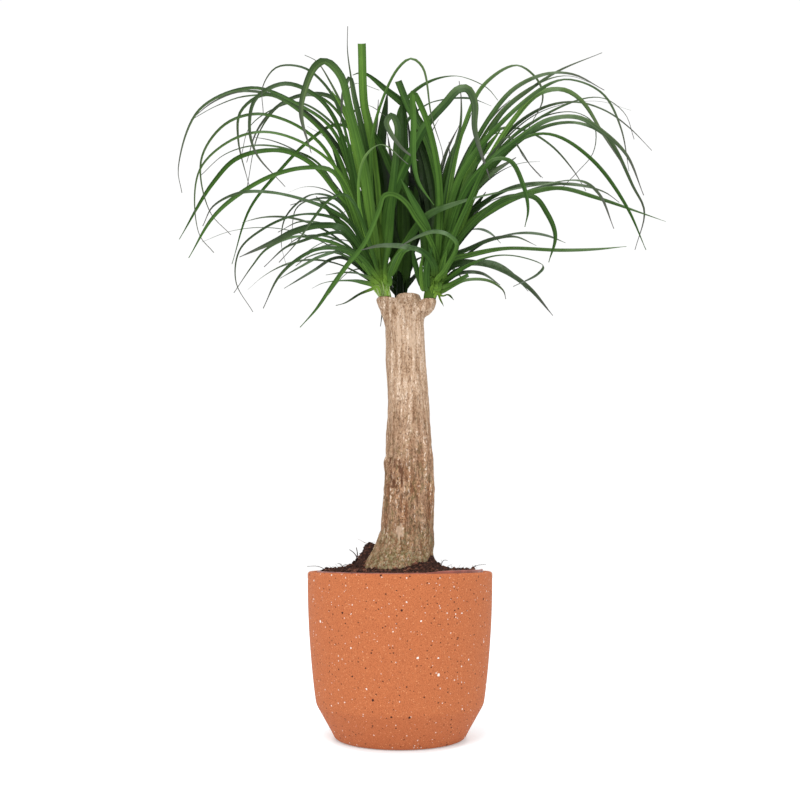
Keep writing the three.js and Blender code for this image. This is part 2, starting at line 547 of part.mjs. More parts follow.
function crossesOtherHead(headName, curve) {
  const points = curve.getSpacedPoints(40);
  return placedLeaves.some((other) => other.head !== headName
    && other.points.some((there) => points.some((here) => here.distanceTo(there) < HEADROOM)));
}

function buildHead(head, fillLeaves) {
  const [x, y, z] = SPURS[head.spur].top;
  const radius = SPURS[head.spur].radii[1];
  const coreRings = CORE_RADII.map(([height, share]) => {
    const ring = [];
    for (let side = 0; side < CORE_SIDES; side += 1) {
      const turn = (side / CORE_SIDES) * 2 * Math.PI;
      ring.push(new THREE.Vector3(
        x + head.lean[0] * height + radius * share * Math.cos(turn),
        y + head.lean[1] * height + radius * share * Math.sin(turn),
        z + CLEARANCE + height));
    }
    return ring;
  });
  let solid = solidOf(skinOver(coreRings));
  const random = randomFrom(head.seed);
  head.leaves.forEach((leaf) => {
    const roll = mix(8, 48, random());
    const twist = mix(-45, 45, random());
    solid = solid.add(bladeSolid(smoothCurve(leadingPath(head, leaf)), leaf, FRONT, roll, twist));
  });
  fillLeaves.forEach((leaf) => {
    solid = solid.add(bladeSolid(leaf.curve, leaf, leaf.face, 90, leaf.twist));
  });
  return geometryOf(solid);
}

// Fill leaves are left out where they would cross another head.
function fillLeavesOf(head) {
  const random = randomFrom(head.seed + 1);
  const kept = [];
  for (let rank = 0; rank < head.fill; rank += 1) {
    const { path, width, face } = fillPath(head, rank, random);
    const leaf = { curve: smoothCurve(path), width, face, twist: mix(-50, 50, random()) };
    if (!crossesOtherHead(head.name, leaf.curve)) {
      kept.push(leaf);
      placedLeaves.push({ head: head.name, points: leaf.curve.getSpacedPoints(40) });
    }
  }
  return kept;
}

function material(colour, roughness) {
  return new THREE.MeshStandardMaterial({ color: colour, roughness, metalness: 0 });
}

function named(name, geometry, finish) {
  const mesh = new THREE.Mesh(geometry, finish);
  mesh.name = name;
  return mesh;
}

const plant = new THREE.Group();
plant.add(named('pot', buildPot(), material(0xc96a3c, 0.8)));
plant.add(named('nursery_pot', buildLiner(), material(0x9a4a35, 0.5)));
plant.add(named('soil', buildSoil(), material(0x2c2019, 1)));
plant.add(named('trunk', buildTrunk(), material(0xb39a78, 0.9)));
HEADS.forEach((head) => head.leaves.forEach((leaf) => {
  placedLeaves.push({ head: head.name, points: smoothCurve(leadingPath(head, leaf)).getSpacedPoints(40) });
}));
HEADS.forEach((head) => {
  plant.add(named(head.name, buildHead(head, fillLeavesOf(head)), material(0x3f7d2c, 0.5)));
});

export default plant;
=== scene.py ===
"""Potted ponytail palm: fine leaves, fissured bark, crumbly soil and speckled pot on the CAD frame."""

import logging
import math
from dataclasses import dataclass, field
from enum import Enum
from typing import Callable, Iterable, Optional, Sequence

import bpy
import numpy as np
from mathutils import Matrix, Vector, noise


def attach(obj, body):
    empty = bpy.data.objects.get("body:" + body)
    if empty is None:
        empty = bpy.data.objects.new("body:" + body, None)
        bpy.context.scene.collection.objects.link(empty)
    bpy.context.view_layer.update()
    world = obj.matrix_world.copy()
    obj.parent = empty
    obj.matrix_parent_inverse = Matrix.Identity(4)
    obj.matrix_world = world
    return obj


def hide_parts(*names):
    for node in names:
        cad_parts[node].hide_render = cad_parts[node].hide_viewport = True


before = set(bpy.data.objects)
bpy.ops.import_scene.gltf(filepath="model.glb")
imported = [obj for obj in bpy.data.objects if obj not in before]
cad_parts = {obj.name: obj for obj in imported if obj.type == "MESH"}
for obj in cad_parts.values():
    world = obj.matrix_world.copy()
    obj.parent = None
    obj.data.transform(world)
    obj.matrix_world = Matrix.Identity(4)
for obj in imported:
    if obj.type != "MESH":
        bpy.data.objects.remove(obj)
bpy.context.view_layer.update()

MM = 0.001
LOG = logging.getLogger("palm")
Point = tuple[float, float]
Triple = tuple[float, float, float]
Colour = Triple
Faces = list[tuple[int, ...]]
Socket = bpy.types.NodeSocket

UP = np.array([0.0, 0.0, 1.0])
FRONT = np.array([0.0, -1.0, 0.0])
EYE_DISTANCE = 975.0  # of the eye in front of the pot's axis, mm
EYE_HEIGHT = 190.0
GOLDEN_SHARE = 0.618034  # spreads any number of leaves evenly round a head
RANDOM_FACTOR, RANDOM_SIZE = 16807, 2147483647
CURVE_STEPS = 24  # between two points of a traced line
LEAST_RADIUS = 0.05  # of a turned outline on the axis, mm


class Slot(Enum):
    """Material slots."""

    POT = "pot"
    NURSERY_POT = "nursery_pot"
    SOIL = "soil"
    BARK = "bark"
    LEAF = "leaf"


class Form(Enum):
    """How a leaf ends: in a long tip, blunt, cut square, or in a long tip with its face to the eye."""

    TAPERED = "tapered"
    BLUNT = "blunt"
    CUT = "cut"
    FLAT = "flat"

    @property
    def full(self) -> bool:
        """Says whether the leaf keeps its width almost to its end."""
        return self in (Form.BLUNT, Form.CUT)


def mix(first: float, last: float, share: float) -> float:
    """Goes from one number to another."""
    return first + (last - first) * share


def random_from(seed: int) -> Callable[[], float]:
    """Makes the same stream of numbers as the CAD source does.

    Args:
        seed: Whole number that starts the stream.

    Returns:
        A function that gives the next number from 0 to 1.
    """
    state = [seed]

    def step() -> float:
        """Takes one step."""
        state[0] = (state[0] * RANDOM_FACTOR) % RANDOM_SIZE
        return state[0] / RANDOM_SIZE

    return step


def smooth_line(points: np.ndarray, count: int) -> np.ndarray:
    """Runs a centripetal Catmull-Rom curve through points and spaces it evenly.

    Args:
        points: Rows of x, y, z in mm.
        count: Number of rows wanted.

    Returns:
        That many rows, evenly spaced along the curve.
    """
    padded = np.vstack([2 * points[0] - points[1], points, 2 * points[-1] - points[-2]])
    share = np.linspace(0, 1, CURVE_STEPS, endpoint=False)[:, None]
    fine = []
    for first in range(len(points) - 1):
        p0, p1, p2, p3 = padded[first : first + 4]
        d0, d1, d2 = (max(float((b - a) @ (b - a)) ** 0.25, 1e-4)
                      for a, b in ((p0, p1), (p1, p2), (p2, p3)))
        leave = ((p1 - p0) / d0 - (p2 - p0) / (d0 + d1) + (p2 - p1) / d1) * d1
        arrive = ((p2 - p1) / d1 - (p3 - p1) / (d1 + d2) + (p3 - p2) / d2) * d1
        a = 2 * p1 - 2 * p2 + leave + arrive
        b = -3 * p1 + 3 * p2 - 2 * leave - arrive
        fine.append(p1 + leave * share + b * share**2 + a * share**3)
    fine.append(points[-1][None, :])
    line = np.vstack(fine)
    run = np.concatenate([[0], np.cumsum(np.linalg.norm(np.diff(line, axis=0), axis=1))])
    wanted = np.linspace(0, run[-1], count)
    return np.stack([np.interp(wanted, run, line[:, axis]) for axis in range(3)], axis=1)


def ease(value: np.ndarray, low: float, high: float) -> np.ndarray:
    """Rises smoothly from 0 to 1."""
    share = np.clip((value - low) / (high - low), 0, 1)
    return share * share * (3 - 2 * share)


def unit(rows: np.ndarray) -> np.ndarray:
    """Scales rows to length 1."""
    return rows / np.maximum(np.linalg.norm(rows, axis=-1, keepdims=True), 1e-9)


def place_seen(point: Point, depth: float) -> np.ndarray:
    """Moves a point of the upright plane through the axis along its line of sight."""
    scale = (EYE_DISTANCE + depth) / EYE_DISTANCE
    return np.array([point[0] * scale, depth, EYE_HEIGHT + (point[1] - EYE_HEIGHT) * scale])


def ring_faces(rings: int, sides: int) -> Faces:
    """Joins rings of points that run anticlockwise seen from the last ring, and closes both ends.

    Args:
        rings: Number of rings.
        sides: Points in each.

    Returns:
        Faces as corner numbers.
    """
    faces: Faces = []
    for ring in range(rings - 1):
        for side in range(sides):
            following = (side + 1) % sides
            a, b = ring * sides + side, ring * sides + following
            faces.append((a, b, b + sides, a + sides))
    faces.append(tuple(range(sides - 1, -1, -1)))
    faces.append(tuple((rings - 1) * sides + side for side in range(sides)))
    return faces


def turns(sides: int) -> np.ndarray:
    """Gives the angles of points evenly spaced in a circle."""
    return np.linspace(0, 2 * math.pi, sides, endpoint=False)


def circle(centre: Sequence[float], radius: float | np.ndarray, sides: int) -> np.ndarray:
    """Sets points in a level circle round its centre, in mm, with one radius for all or one for each."""
    turn = turns(sides)
    return np.array(centre) + np.stack([radius * np.cos(turn), radius * np.sin(turn), 0 * turn], axis=1)


def lathe(profile: Sequence[Point], sides: int) -> tuple[np.ndarray, Faces]:
    """Turns radii and heights in mm, from the lower middle outwards and round, into points and faces."""
    rows = [circle((0, 0, height), max(radius, LEAST_RADIUS), sides) for radius, height in profile]
    return np.vstack(rows), ring_faces(len(profile), sides)


def put_in_scene(name: str, data: bpy.types.ID) -> bpy.types.Object:
    """Makes an object and links it to the scene.

    Args:
        name: Of the object.
        data: Its mesh, lamp or camera.

    Returns:
        The object.
    """
    made = bpy.data.objects.new(name, data)
    bpy.context.scene.collection.objects.link(made)
    return made


def write_values(mesh: bpy.types.Mesh, values: dict[str, np.ndarray]) -> None:
    """Writes point values to a mesh.

    Args:
        mesh: Where they go.
        values: One number a point, by attribute name.
    """
    for name, numbers in values.items():
        layer = mesh.attributes.new(name, "FLOAT", "POINT")
        layer.data.foreach_set("value", numbers.astype(np.float32))


def read_rows(items: bpy.types.bpy_prop_collection, name: str, width: int, kind: type = float) -> np.ndarray:
    """Reads a property of all vertices or edges.

    Args:
        items: The vertices or edges.
        name: Of the property.
        width: Numbers in it.
        kind: Their type.

    Returns:
        One row an item.
    """
    rows = np.empty(len(items) * width, dtype=kind)
    items.foreach_get(name, rows)
    return rows.reshape(-1, width)


@dataclass
class Skin:
    """Collects vertices, faces and point values, and turns them into one object."""

    vertices: list[np.ndarray] = field(default_factory=list)
    faces: Faces = field(default_factory=list)
    values: dict[str, list[np.ndarray]] = field(default_factory=dict)
    count: int = 0

    def add(self, points: np.ndarray, faces: Iterable[Sequence[int]],
            **values: float | np.ndarray) -> None:
        """Adds a shell.

        Args:
            points: Rows of x, y, z in mm.
            faces: Corner numbers, counted from this shell's first point.
            values: By attribute name, one number for the shell or one for each point.
        """
        base = self.count
        self.vertices.append(points)
        self.faces.extend(tuple(corner + base for corner in face) for face in faces)
        for name, numbers in values.items():
            row = np.broadcast_to(numbers, len(points)).astype(np.float32)
            self.values.setdefault(name, []).append(row)
        self.count += len(points)

    def build(self, name: str, smooth: bool = True, crease: Optional[float] = None) -> bpy.types.Object:
        """Makes the object, in metres.

        Args:
            name: Of the object and its mesh.
            smooth: Whether faces are shaded smooth.
            crease: Angle in degrees above which an edge stays sharp.

        Returns:
            The object, linked to the scene.
        """
        mesh = bpy.data.meshes.new(name)
        mesh.from_pydata((np.vstack(self.vertices) * MM).tolist(), [], self.faces)
        write_values(mesh, {value: np.concatenate(rows) for value, rows in self.values.items()})
        mesh.polygons.foreach_set("use_smooth", [smooth] * len(mesh.polygons))
        if crease is not None:
            mesh.set_sharp_from_angle(angle=math.radians(crease))
        mesh.update()
        return put_in_scene(name, mesh)


def add_rod(skin: Skin, line: np.ndarray, radii: Sequence[float], sides: int,
            **values: float | np.ndarray) -> None:
    """Adds a round rod along a line.

    Args:
        skin: Where it goes.
        line: Rows of x, y, z in mm.
        radii: One for each row, mm.
        sides: Points round it.
        values: Point values.
    """
    along = unit(np.gradient(line, axis=0))
    spare = np.array([0.3, 0.5, 0.81]) if abs(along[0] @ UP) > 0.9 else UP
    across = unit(np.cross(np.broadcast_to(spare, along.shape), along))
    other = np.cross(along, across)
    turn = turns(sides)
    rows = [line[i] + radii[i] * (np.cos(turn)[:, None] * across[i] + np.sin(turn)[:, None] * other[i])
            for i in range(len(line))]
    skin.add(np.vstack(rows), ring_faces(len(line), sides), **values)


def settle(piece: bpy.types.Object, material: bpy.types.Material, slot: Slot,
           *nodes: str) -> bpy.types.Object:
    """Dresses a piece and ties it to the CAD frame.

    Args:
        piece: The object.
        material: Its finish.
        slot: Its material slot, not used.
        nodes: CAD nodes that it stands for.

    Returns:
        The same object.
    """
    piece.data.materials.append(material)
    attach(piece, "root")
    if nodes:
        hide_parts(*nodes)
    return piece


class Nodes:
    """Short calls for building one material's nodes, with a colour that layers are painted on."""

    def __init__(self, name: str, colour: Colour = (0.0, 0.0, 0.0)) -> None:
        """Starts a material.

        Args:
            name: Of the material.
            colour: The lowest layer.
        """
        self.material = bpy.data.materials.new(name)
        self.material.use_nodes = True
        self.tree = self.material.node_tree
        self.shader = self.tree.nodes["Principled BSDF"]
        self.place = self.add("ShaderNodeTexCoord").outputs["Object"]
        self.colour: object = colour

    def add(self, kind: str, **settings: object) -> bpy.types.Node:
        """Adds a node.

        Args:
            kind: Blender's class name.
            settings: Node properties.

        Returns:
            The node.
        """
        node = self.tree.nodes.new(kind)
        for name, value in settings.items():
            setattr(node, name, value)
        return node

    def feed(self, socket: Socket, value: object) -> None:
        """Links or sets a socket.

        Args:
            socket: The input.
            value: An output socket, a number or a colour.
        """
        if isinstance(value, bpy.types.NodeSocket):
            self.tree.links.new(value, socket)
        elif isinstance(value, tuple) and socket.type == "RGBA":
            socket.default_value = (*value, 1.0)
        else:
            socket.default_value = value

    def axis(self, index: int) -> Socket:
        """Reads one of the object coordinates.

        Args:
            index: 0 for x, 1 for y, 2 for z.

        Returns:
            The coordinate in metres.
        """
        node = self.add("ShaderNodeSeparateXYZ")
        self.feed(node.inputs[0], self.place)
        return node.outputs[index]

    def noise(self, size: float, detail: float = 3.0, rough: float = 0.55, upright: float = 1.0,
              place: Optional[Socket] = None) -> Socket:
        """Adds smooth noise.

        Args:
            size: Of its features, mm.
            detail: Octaves.
            rough: Strength of the finer octaves.
            upright: Factor on z, below 1 for features that stand upright.
            place: Coordinates, or None for the object's.

        Returns:
            A value of about 0.5 on average.
        """
        place = place or self.place
        if upright != 1.0:
            node = self.add("ShaderNodeMapping")
            node.inputs["Scale"].default_value = (1.0, 1.0, upright)
            self.feed(node.inputs["Vector"], place)
            place = node.outputs["Vector"]
        node = self.add("ShaderNodeTexNoise")
        for name, value in (("Scale", 1 / (size * MM)), ("Detail", detail), ("Roughness", rough),
                            ("Vector", place)):
            self.feed(node.inputs[name], value)
        return node.outputs["Fac"]

    def ramp(self, value: Socket, stops: Sequence[tuple[float, Colour]]) -> Socket:
        """Turns a value into colours.

        Args:
            value: From 0 to 1.
            stops: Positions and linear colours.

        Returns:
            The colour.
        """
        node = self.add("ShaderNodeValToRGB")
        points = node.color_ramp.elements
        while len(points) < len(stops):
            points.new(0.5)
        for point, (position, colour) in zip(points, stops):
            point.position = position
            point.color = (*colour, 1.0)
        self.feed(node.inputs["Fac"], value)
        return node.outputs["Color"]

    def between(self, value: object, low: float, high: float, out_low: float = 0.0,
                out_high: float = 1.0) -> Socket:
        """Maps a range smoothly to another.

        Args:
            value: The input.
            low: Its low end.
            high: Its high end.
            out_low: What the low end gives.
            out_high: What the high end gives.

        Returns:
            The mapped value.
        """
        node = self.add("ShaderNodeMapRange", interpolation_type="SMOOTHSTEP")
        for name, number in (("Value", value), ("From Min", low), ("From Max", high), ("To Min", out_low),
                             ("To Max", out_high)):
            self.feed(node.inputs[name], number)
        return node.outputs["Result"]

    def spots(self, grain: Sequence[float], low: float, high: float, out_low: float = 0.0,
              out_high: float = 1.0) -> Socket:
        """Maps noise smoothly to a range."""
        return self.between(self.noise(*grain), low, high, out_low, out_high)

    def blend(self, share: object, first: object, last: object, mode: str = "MIX") -> Socket:
        """Mixes two colours.

        Args:
            share: Of the second, 0 to 1.
            first: A colour or socket.
            last: A colour or socket.
            mode: Blender's blend type.

        Returns:
            The colour.
        """
        node = self.add("ShaderNodeMix", data_type="RGBA", blend_type=mode)
        for index, value in ((0, share), (6, first), (7, last)):
            self.feed(node.inputs[index], value)
        return node.outputs[2]

    def math(self, kind: str, first: object, last: object = 0.0) -> Socket:
        """Does arithmetic.

        Args:
            kind: Blender's operation name.
            first: A number or socket.
            last: A number or socket.

        Returns:
            The result.
        """
        node = self.add("ShaderNodeMath", operation=kind)
        self.feed(node.inputs[0], first)
        self.feed(node.inputs[1], last)
        return node.outputs[0]

    def total(self, *parts: tuple[object, float]) -> Socket:
        """Adds values up.

        Args:
            parts: Values with their weights.

        Returns:
            The sum.
        """
        first, *others = [self.math("MULTIPLY", value, weight) for value, weight in parts]
        for other in others:
            first = self.math("ADD", first, other)
        return first

    def paint(self, colour: object, *shares: object) -> None:
        """Lays a colour over what is there.

        Args:
            colour: A colour or socket.
            shares: Numbers or sockets whose product says how much of it shows.
        """
        share = shares[0]
        for other in shares[1:]:
            share = self.math("MULTIPLY", share, other)
        self.colour = self.blend(share, self.colour, colour)

    def value(self, name: str) -> Socket:
        """Reads a point value of the mesh."""
        return self.add("ShaderNodeAttribute", attribute_name=name).outputs["Fac"]

    def specks(self, cell: float, chosen: float, least: float, most: float, place: Socket) -> Socket:
        """Marks scattered grains.

        Args:
            cell: Distance between possible grains, mm.
            chosen: Share of the cells that hold one.
            least: Smallest radius as a share of the cell.
            most: Largest radius as a share of the cell.
            place: Coordinates.

        Returns:
            1 on a grain and 0 elsewhere.
        """
        node = self.add("ShaderNodeTexVoronoi", feature="F1")
        node.inputs["Scale"].default_value = 1 / (cell * MM)
        self.feed(node.inputs["Vector"], place)
        parts = self.add("ShaderNodeSeparateColor")
        self.feed(parts.inputs[0], node.outputs["Color"])
        held = self.math("LESS_THAN", parts.outputs[0], chosen)
        radius = self.between(parts.outputs[1], 0.0, 1.0, least, most)
        return self.math("MULTIPLY", held, self.math("LESS_THAN", node.outputs["Distance"], radius))

    def finish(self, roughness: object, specular: float, bumps: Sequence[tuple[Socket, float]] = ()
               ) -> bpy.types.Material:
        """Connects the shader.

        Args:
            roughness: Number or socket.
            specular: Specular level.
            bumps: Height sockets with their heights in mm.

        Returns:
            The material.
        """
        self.feed(self.shader.inputs["Base Color"], self.colour)
        self.feed(self.shader.inputs["Roughness"], roughness)
        self.shader.inputs["Specular IOR Level"].default_value = specular
        target = self.shader
        for height, size in reversed(bumps):
            node = self.add("ShaderNodeBump")
            node.inputs["Distance"].default_value = size * MM
            self.feed(node.inputs["Height"], height)
            self.feed(target.inputs["Normal"], node.outputs["Normal"])
            target = node
        return self.material


@dataclass(frozen=True)
class SpeckledClay:
    """Terracotta-coloured composite with pale and dark chips."""

    clay: Colour = (0.52, 0.156, 0.057)
    grain: Colour = (0.37, 0.1, 0.036)
    pale_chip: Colour = (0.82, 0.72, 0.66)
    dark_chip: Colour = (0.06, 0.017, 0.01)
    red_chip: Colour = (0.33, 0.07, 0.026)
    light_chip: Colour = (0.8, 0.36, 0.17)
    chamfer_painted_shade: float = 0.16
    chamfer_edge: Point = (0.0322, 0.0338)
    wobble: float = 1.3 * MM
    wobble_size: float = 1.1 * MM
    roughness: float = 0.8

    def bent_place(self, nodes: Nodes) -> Socket:
        """Bends the coordinates a little, so that no chip is round.

        Args:
            nodes: The material.

        Returns:
            The coordinates.
        """
        shift = nodes.add("ShaderNodeTexNoise")
        shift.inputs["Scale"].default_value = 1 / self.wobble_size
        nodes.feed(shift.inputs["Vector"], nodes.place)
        spread = nodes.add("ShaderNodeVectorMath", operation="MULTIPLY_ADD")
        for index, value in enumerate((shift.outputs["Color"], (self.wobble,) * 3, nodes.place)):
            nodes.feed(spread.inputs[index], value)
        return spread.outputs[0]

    def material(self) -> bpy.types.Material:
        """Builds the finish.

        Returns:
            The material.
        """
        nodes = Nodes("speckled_clay", self.clay)
        bent = self.bent_place(nodes)
        nodes.paint(self.grain, nodes.spots((0.9, 3, 0.7), 0.42, 0.64))
        # painted shade: the chamfer below the crease is darkened towards red-brown
        nodes.paint(self.red_chip, nodes.between(nodes.axis(2), *self.chamfer_edge, self.chamfer_painted_shade, 0.0))
        for cell, chosen, least, most, strength, chip in (
                (1.5, 0.3, 0.15, 0.36, 0.5, self.red_chip), (1.6, 0.3, 0.12, 0.34, 0.5, self.light_chip),
                (3.2, 0.34, 0.13, 0.25, 0.9, self.dark_chip), (3.4, 0.24, 0.1, 0.21, 0.65, self.pale_chip),
                (6.5, 0.2, 0.07, 0.15, 0.85, self.pale_chip), (9.0, 0.3, 0.07, 0.14, 1.0, self.dark_chip),
                (16.0, 0.3, 0.05, 0.085, 1.0, self.pale_chip)):
            nodes.paint(chip, nodes.specks(cell, chosen, least, most, bent), strength)
        return nodes.finish(self.roughness, 0.2, [(nodes.noise(0.8, 3), 0.1)])


@dataclass(frozen=True)
class NurseryPlastic:
    """Thin reddish-brown pot plastic."""

    light: Colour = (0.36, 0.1, 0.07)
    dark: Colour = (0.24, 0.06, 0.04)
    roughness: float = 0.36

    def material(self) -> bpy.types.Material:
        """Builds the finish.

        Returns:
            The material.
        """
        nodes = Nodes("nursery_plastic", self.dark)
        nodes.paint(self.light, nodes.spots((14, 4), 0.35, 0.65))
        rough = nodes.spots((5, 3), 0.3, 0.7, self.roughness - 0.06, self.roughness + 0.12)
        return nodes.finish(rough, 0.5, [(nodes.noise(2.5, 2), 0.05)])


@dataclass(frozen=True)
class PottingSoil:
    """Dark crumbs with reddish fibres."""

    dark: Colour = (0.012, 0.007, 0.006)
    brown: Colour = (0.052, 0.024, 0.017)
    fibre: Colour = (0.22, 0.09, 0.058)
    roughness: float = 0.95

    def material(self) -> bpy.types.Material:
        """Builds the finish.

        Returns:
            The material.
        """
        nodes = Nodes("potting_soil")
        stops = [(0.36, self.dark), (0.58, self.brown), (0.74, self.fibre)]
        nodes.colour = nodes.ramp(nodes.noise(2.0, 5, 0.7), stops)
        nodes.paint(self.fibre, nodes.between(nodes.value("tone"), 0.1, 1.0, 0.0, 0.85))
        return nodes.finish(self.roughness, 0.12, [(nodes.noise(0.9, 4), 0.5)])


@dataclass(frozen=True)
class FissuredBark:
    """Pinkish tan bark in fine upright streaks, browner and mossier towards the soil."""

    tan: Colour = (0.455, 0.287, 0.18)
    pale: Colour = (0.65, 0.465, 0.335)
    glint: Colour = (0.84, 0.66, 0.52)
    brown: Colour = (0.21, 0.118, 0.065)
    fissure: Colour = (0.1, 0.052, 0.028)
    lower: Colour = (0.215, 0.088, 0.039)
    moss: Colour = (0.17, 0.155, 0.06)
    lichen: Colour = (0.4, 0.345, 0.205)
    warm: Colour = (0.52, 0.295, 0.165)
    knot: Colour = (0.12, 0.048, 0.024)
    sawn: Colour = (0.17, 0.085, 0.045)
    roughness: float = 0.9

    def material(self) -> bpy.types.Material:
        """Builds the finish, from the streaks over the whole trunk to the marks on it.

        Returns:
            The material.
        """
        nodes = Nodes("fissured_bark")
        rise = nodes.total((nodes.axis(2), 1.0), (nodes.noise(16, 4), 0.06))
        ribs, streaks, beads = (nodes.noise(*grain) for grain in ((3.6, 3, 0.5, 0.07), (1.5, 5, 0.7, 0.3),
                                                                  (1.7, 3, 0.6, 0.75)))
        nodes.colour = nodes.ramp(nodes.total((streaks, 0.33), (ribs, 0.37), (beads, 0.3)),
                                  [(0.395, self.brown), (0.47, self.tan), (0.57, self.pale)])
        low = nodes.between(rise, 0.25, 0.4, 1.0, 0.0)
        nodes.paint(self.lower, low, nodes.spots((9, 4, 0.55, 0.4), 0.4, 0.6, 0.4, 0.9))
        nodes.paint(self.moss, low, nodes.spots((6, 5, 0.65, 0.5), 0.5, 0.6, 0.0, 0.5))
        crumbs = nodes.total((beads, 0.6), (ribs, 0.4))
        nodes.paint(self.warm, low, nodes.between(crumbs, 0.49, 0.56, 0.0, 0.85))
        nodes.paint(self.fissure, low, nodes.spots((2.8, 4, 0.65, 0.4), 0.53, 0.61, 0.0, 0.75))
        # painted shade: the left side of the trunk and its top under the leaves are darkened towards brown
        nodes.paint(self.brown, nodes.math("ADD", nodes.between(nodes.axis(0), -0.018, 0.0, 0.25, 0.0),
                                           nodes.between(rise, 0.44, 0.48, 0.0, 0.16)))
        nodes.paint(self.fissure, nodes.between(nodes.value("fissure"), 0.35, 1.0), 0.32)
        nodes.paint(self.fissure, nodes.spots((1.3, 3, 0.6, 0.5), 0.55, 0.65),
                    nodes.between(rise, 0.22, 0.42, 0.95, 0.6))
        nodes.paint(self.glint, nodes.spots((1.9, 2, 0.5, 0.6), 0.54, 0.64), nodes.between(ribs, 0.5, 0.6),
                    nodes.between(rise, 0.24, 0.34, 0.75, 0.85))
        nodes.paint(self.moss, nodes.between(rise, 0.19, 0.25, 1.0, 0.0),
                    nodes.spots((2.6, 5, 0.7), 0.45, 0.58, 0.0, 0.7))
        nodes.paint(self.lichen, nodes.between(rise, 0.2, 0.25, 1.0, 0.0),
                    nodes.spots((3.2, 4, 0.7), 0.5, 0.58, 0.0, 0.65))
        nodes.paint(self.knot, nodes.between(nodes.value("scar"), 0.1, 0.6, 0.0, 0.9),
                    nodes.spots((6, 4, 0.6, 0.6), 0.44, 0.52, 1.0, 0.0))
        nodes.paint(self.pale, nodes.between(nodes.value("patch"), 0.2, 0.9, 0.0, 0.6))
        nodes.paint(self.sawn, nodes.between(nodes.value("sawn"), 0.3, 0.9, 0.0, 0.75))
        bumps = [(ribs, 1.6), (streaks, 0.9), (beads, 0.8), (nodes.noise(0.5, 3), 0.2)]
        return nodes.finish(self.roughness, 0.12, bumps)


@dataclass(frozen=True)
class StrapLeaf:
    """Green strap leaf with a pale midrib, yellower at its root and dull at its tip."""

    deep: Colour = (0.0065, 0.015, 0.0042)
    mid: Colour = (0.036, 0.094, 0.016)
    bright: Colour = (0.105, 0.22, 0.035)
    root: Colour = (0.21, 0.355, 0.045)
    sheath: Colour = (0.66, 0.72, 0.4)
    outer: Colour = (0.076, 0.092, 0.063)
    tip: Colour = (0.098, 0.086, 0.088)
    sheen: Colour = (0.24, 0.32, 0.19)
    darker: Colour = (0.5, 0.52, 0.5)
    lighter: Colour = (1.6, 1.4, 1.3)
    roughness: float = 0.42

    def material(self) -> bpy.types.Material:
        """Builds the finish.

        Returns:
            The material.
        """
        nodes = Nodes("strap_leaf")
        along, across, tone, pale, level = map(nodes.value, ("along", "across", "tone", "pale", "level"))
        away = nodes.math("ABSOLUTE", across)
        # tone runs from deep to bright green: each leaf's own green varied at random, with painted shade on
        # leaves deep in the crown and painted light on lit ones
        nodes.colour = nodes.ramp(tone, [(0.0, self.deep), (0.45, self.mid), (1.0, self.bright)])
        nodes.paint(self.outer, nodes.between(along, 0.4, 0.9, 0.0, 0.6))
        # darker and lighter copies of the colour: they carry the painted shade and painted light on the edges
        # and fold halves below, as well as the groove, veins and blotches
        darker, lighter = (nodes.blend(1.0, nodes.colour, factor, "MULTIPLY")
                           for factor in (self.darker, self.lighter))
        # the lower part of each blade turns yellower, more on brighter-toned leaves: partly the leaf's own
        # paler base, partly painted light
        nodes.paint(self.root, nodes.between(along, 0.04, 0.5, 0.5, 0.0), tone)
        # painted shade: both edges of each blade are darkened, as shadow lines between the leaves
        nodes.paint(darker, nodes.between(away, 0.65, 1.0, 0.0, 0.8))
        nodes.paint(darker, nodes.between(away, 0.1, 0.3), nodes.between(away, 0.35, 0.6, 1.0, 0.0), 0.2)
        nodes.paint(lighter, nodes.between(away, 0.05, 0.3, 0.25, 0.0))
        # painted shade on one half of the folded blade and painted light on the other half
        nodes.paint(darker, nodes.between(across, -0.1, 0.15, 0.0, 0.42))
        nodes.paint(lighter, nodes.between(across, -0.15, 0.1, 0.42, 0.0))
        grain = nodes.add("ShaderNodeCombineXYZ")
        for index, (value, factor) in enumerate(((across, 1.0), (along, 0.8), (tone, 9.0))):
            nodes.feed(grain.inputs[index], nodes.math("MULTIPLY", value, factor))
        veins = nodes.noise(260, 3, 0.6, place=grain.outputs[0])
        nodes.paint(darker, nodes.between(veins, 0.48, 0.62, 0.0, 0.6))
        nodes.paint(lighter, nodes.between(veins, 0.36, 0.48, 0.5, 0.0))
        nodes.paint(self.root, nodes.between(pale, 0.0, 1.0, 0.0, 0.9))
        nodes.paint(self.sheath, nodes.between(pale, 0.75, 0.98), nodes.between(away, 0.75, 1.0, 0.0, 0.9))
        nodes.paint(self.tip, nodes.between(along, 0.8, 1.0, 0.0, 0.8))
        nodes.paint(self.sheen, level, nodes.spots((22, 3), 0.35, 0.65, 0.05, 0.42),
                    nodes.between(along, 0.25, 0.6, 0.4, 1.2))
        nodes.paint(darker, nodes.spots((30, 3), 0.4, 0.7, 0.0, 0.3))
        return nodes.finish(nodes.spots((6, 2), 0.3, 0.7, self.roughness - 0.06, self.roughness + 0.12), 0.04)


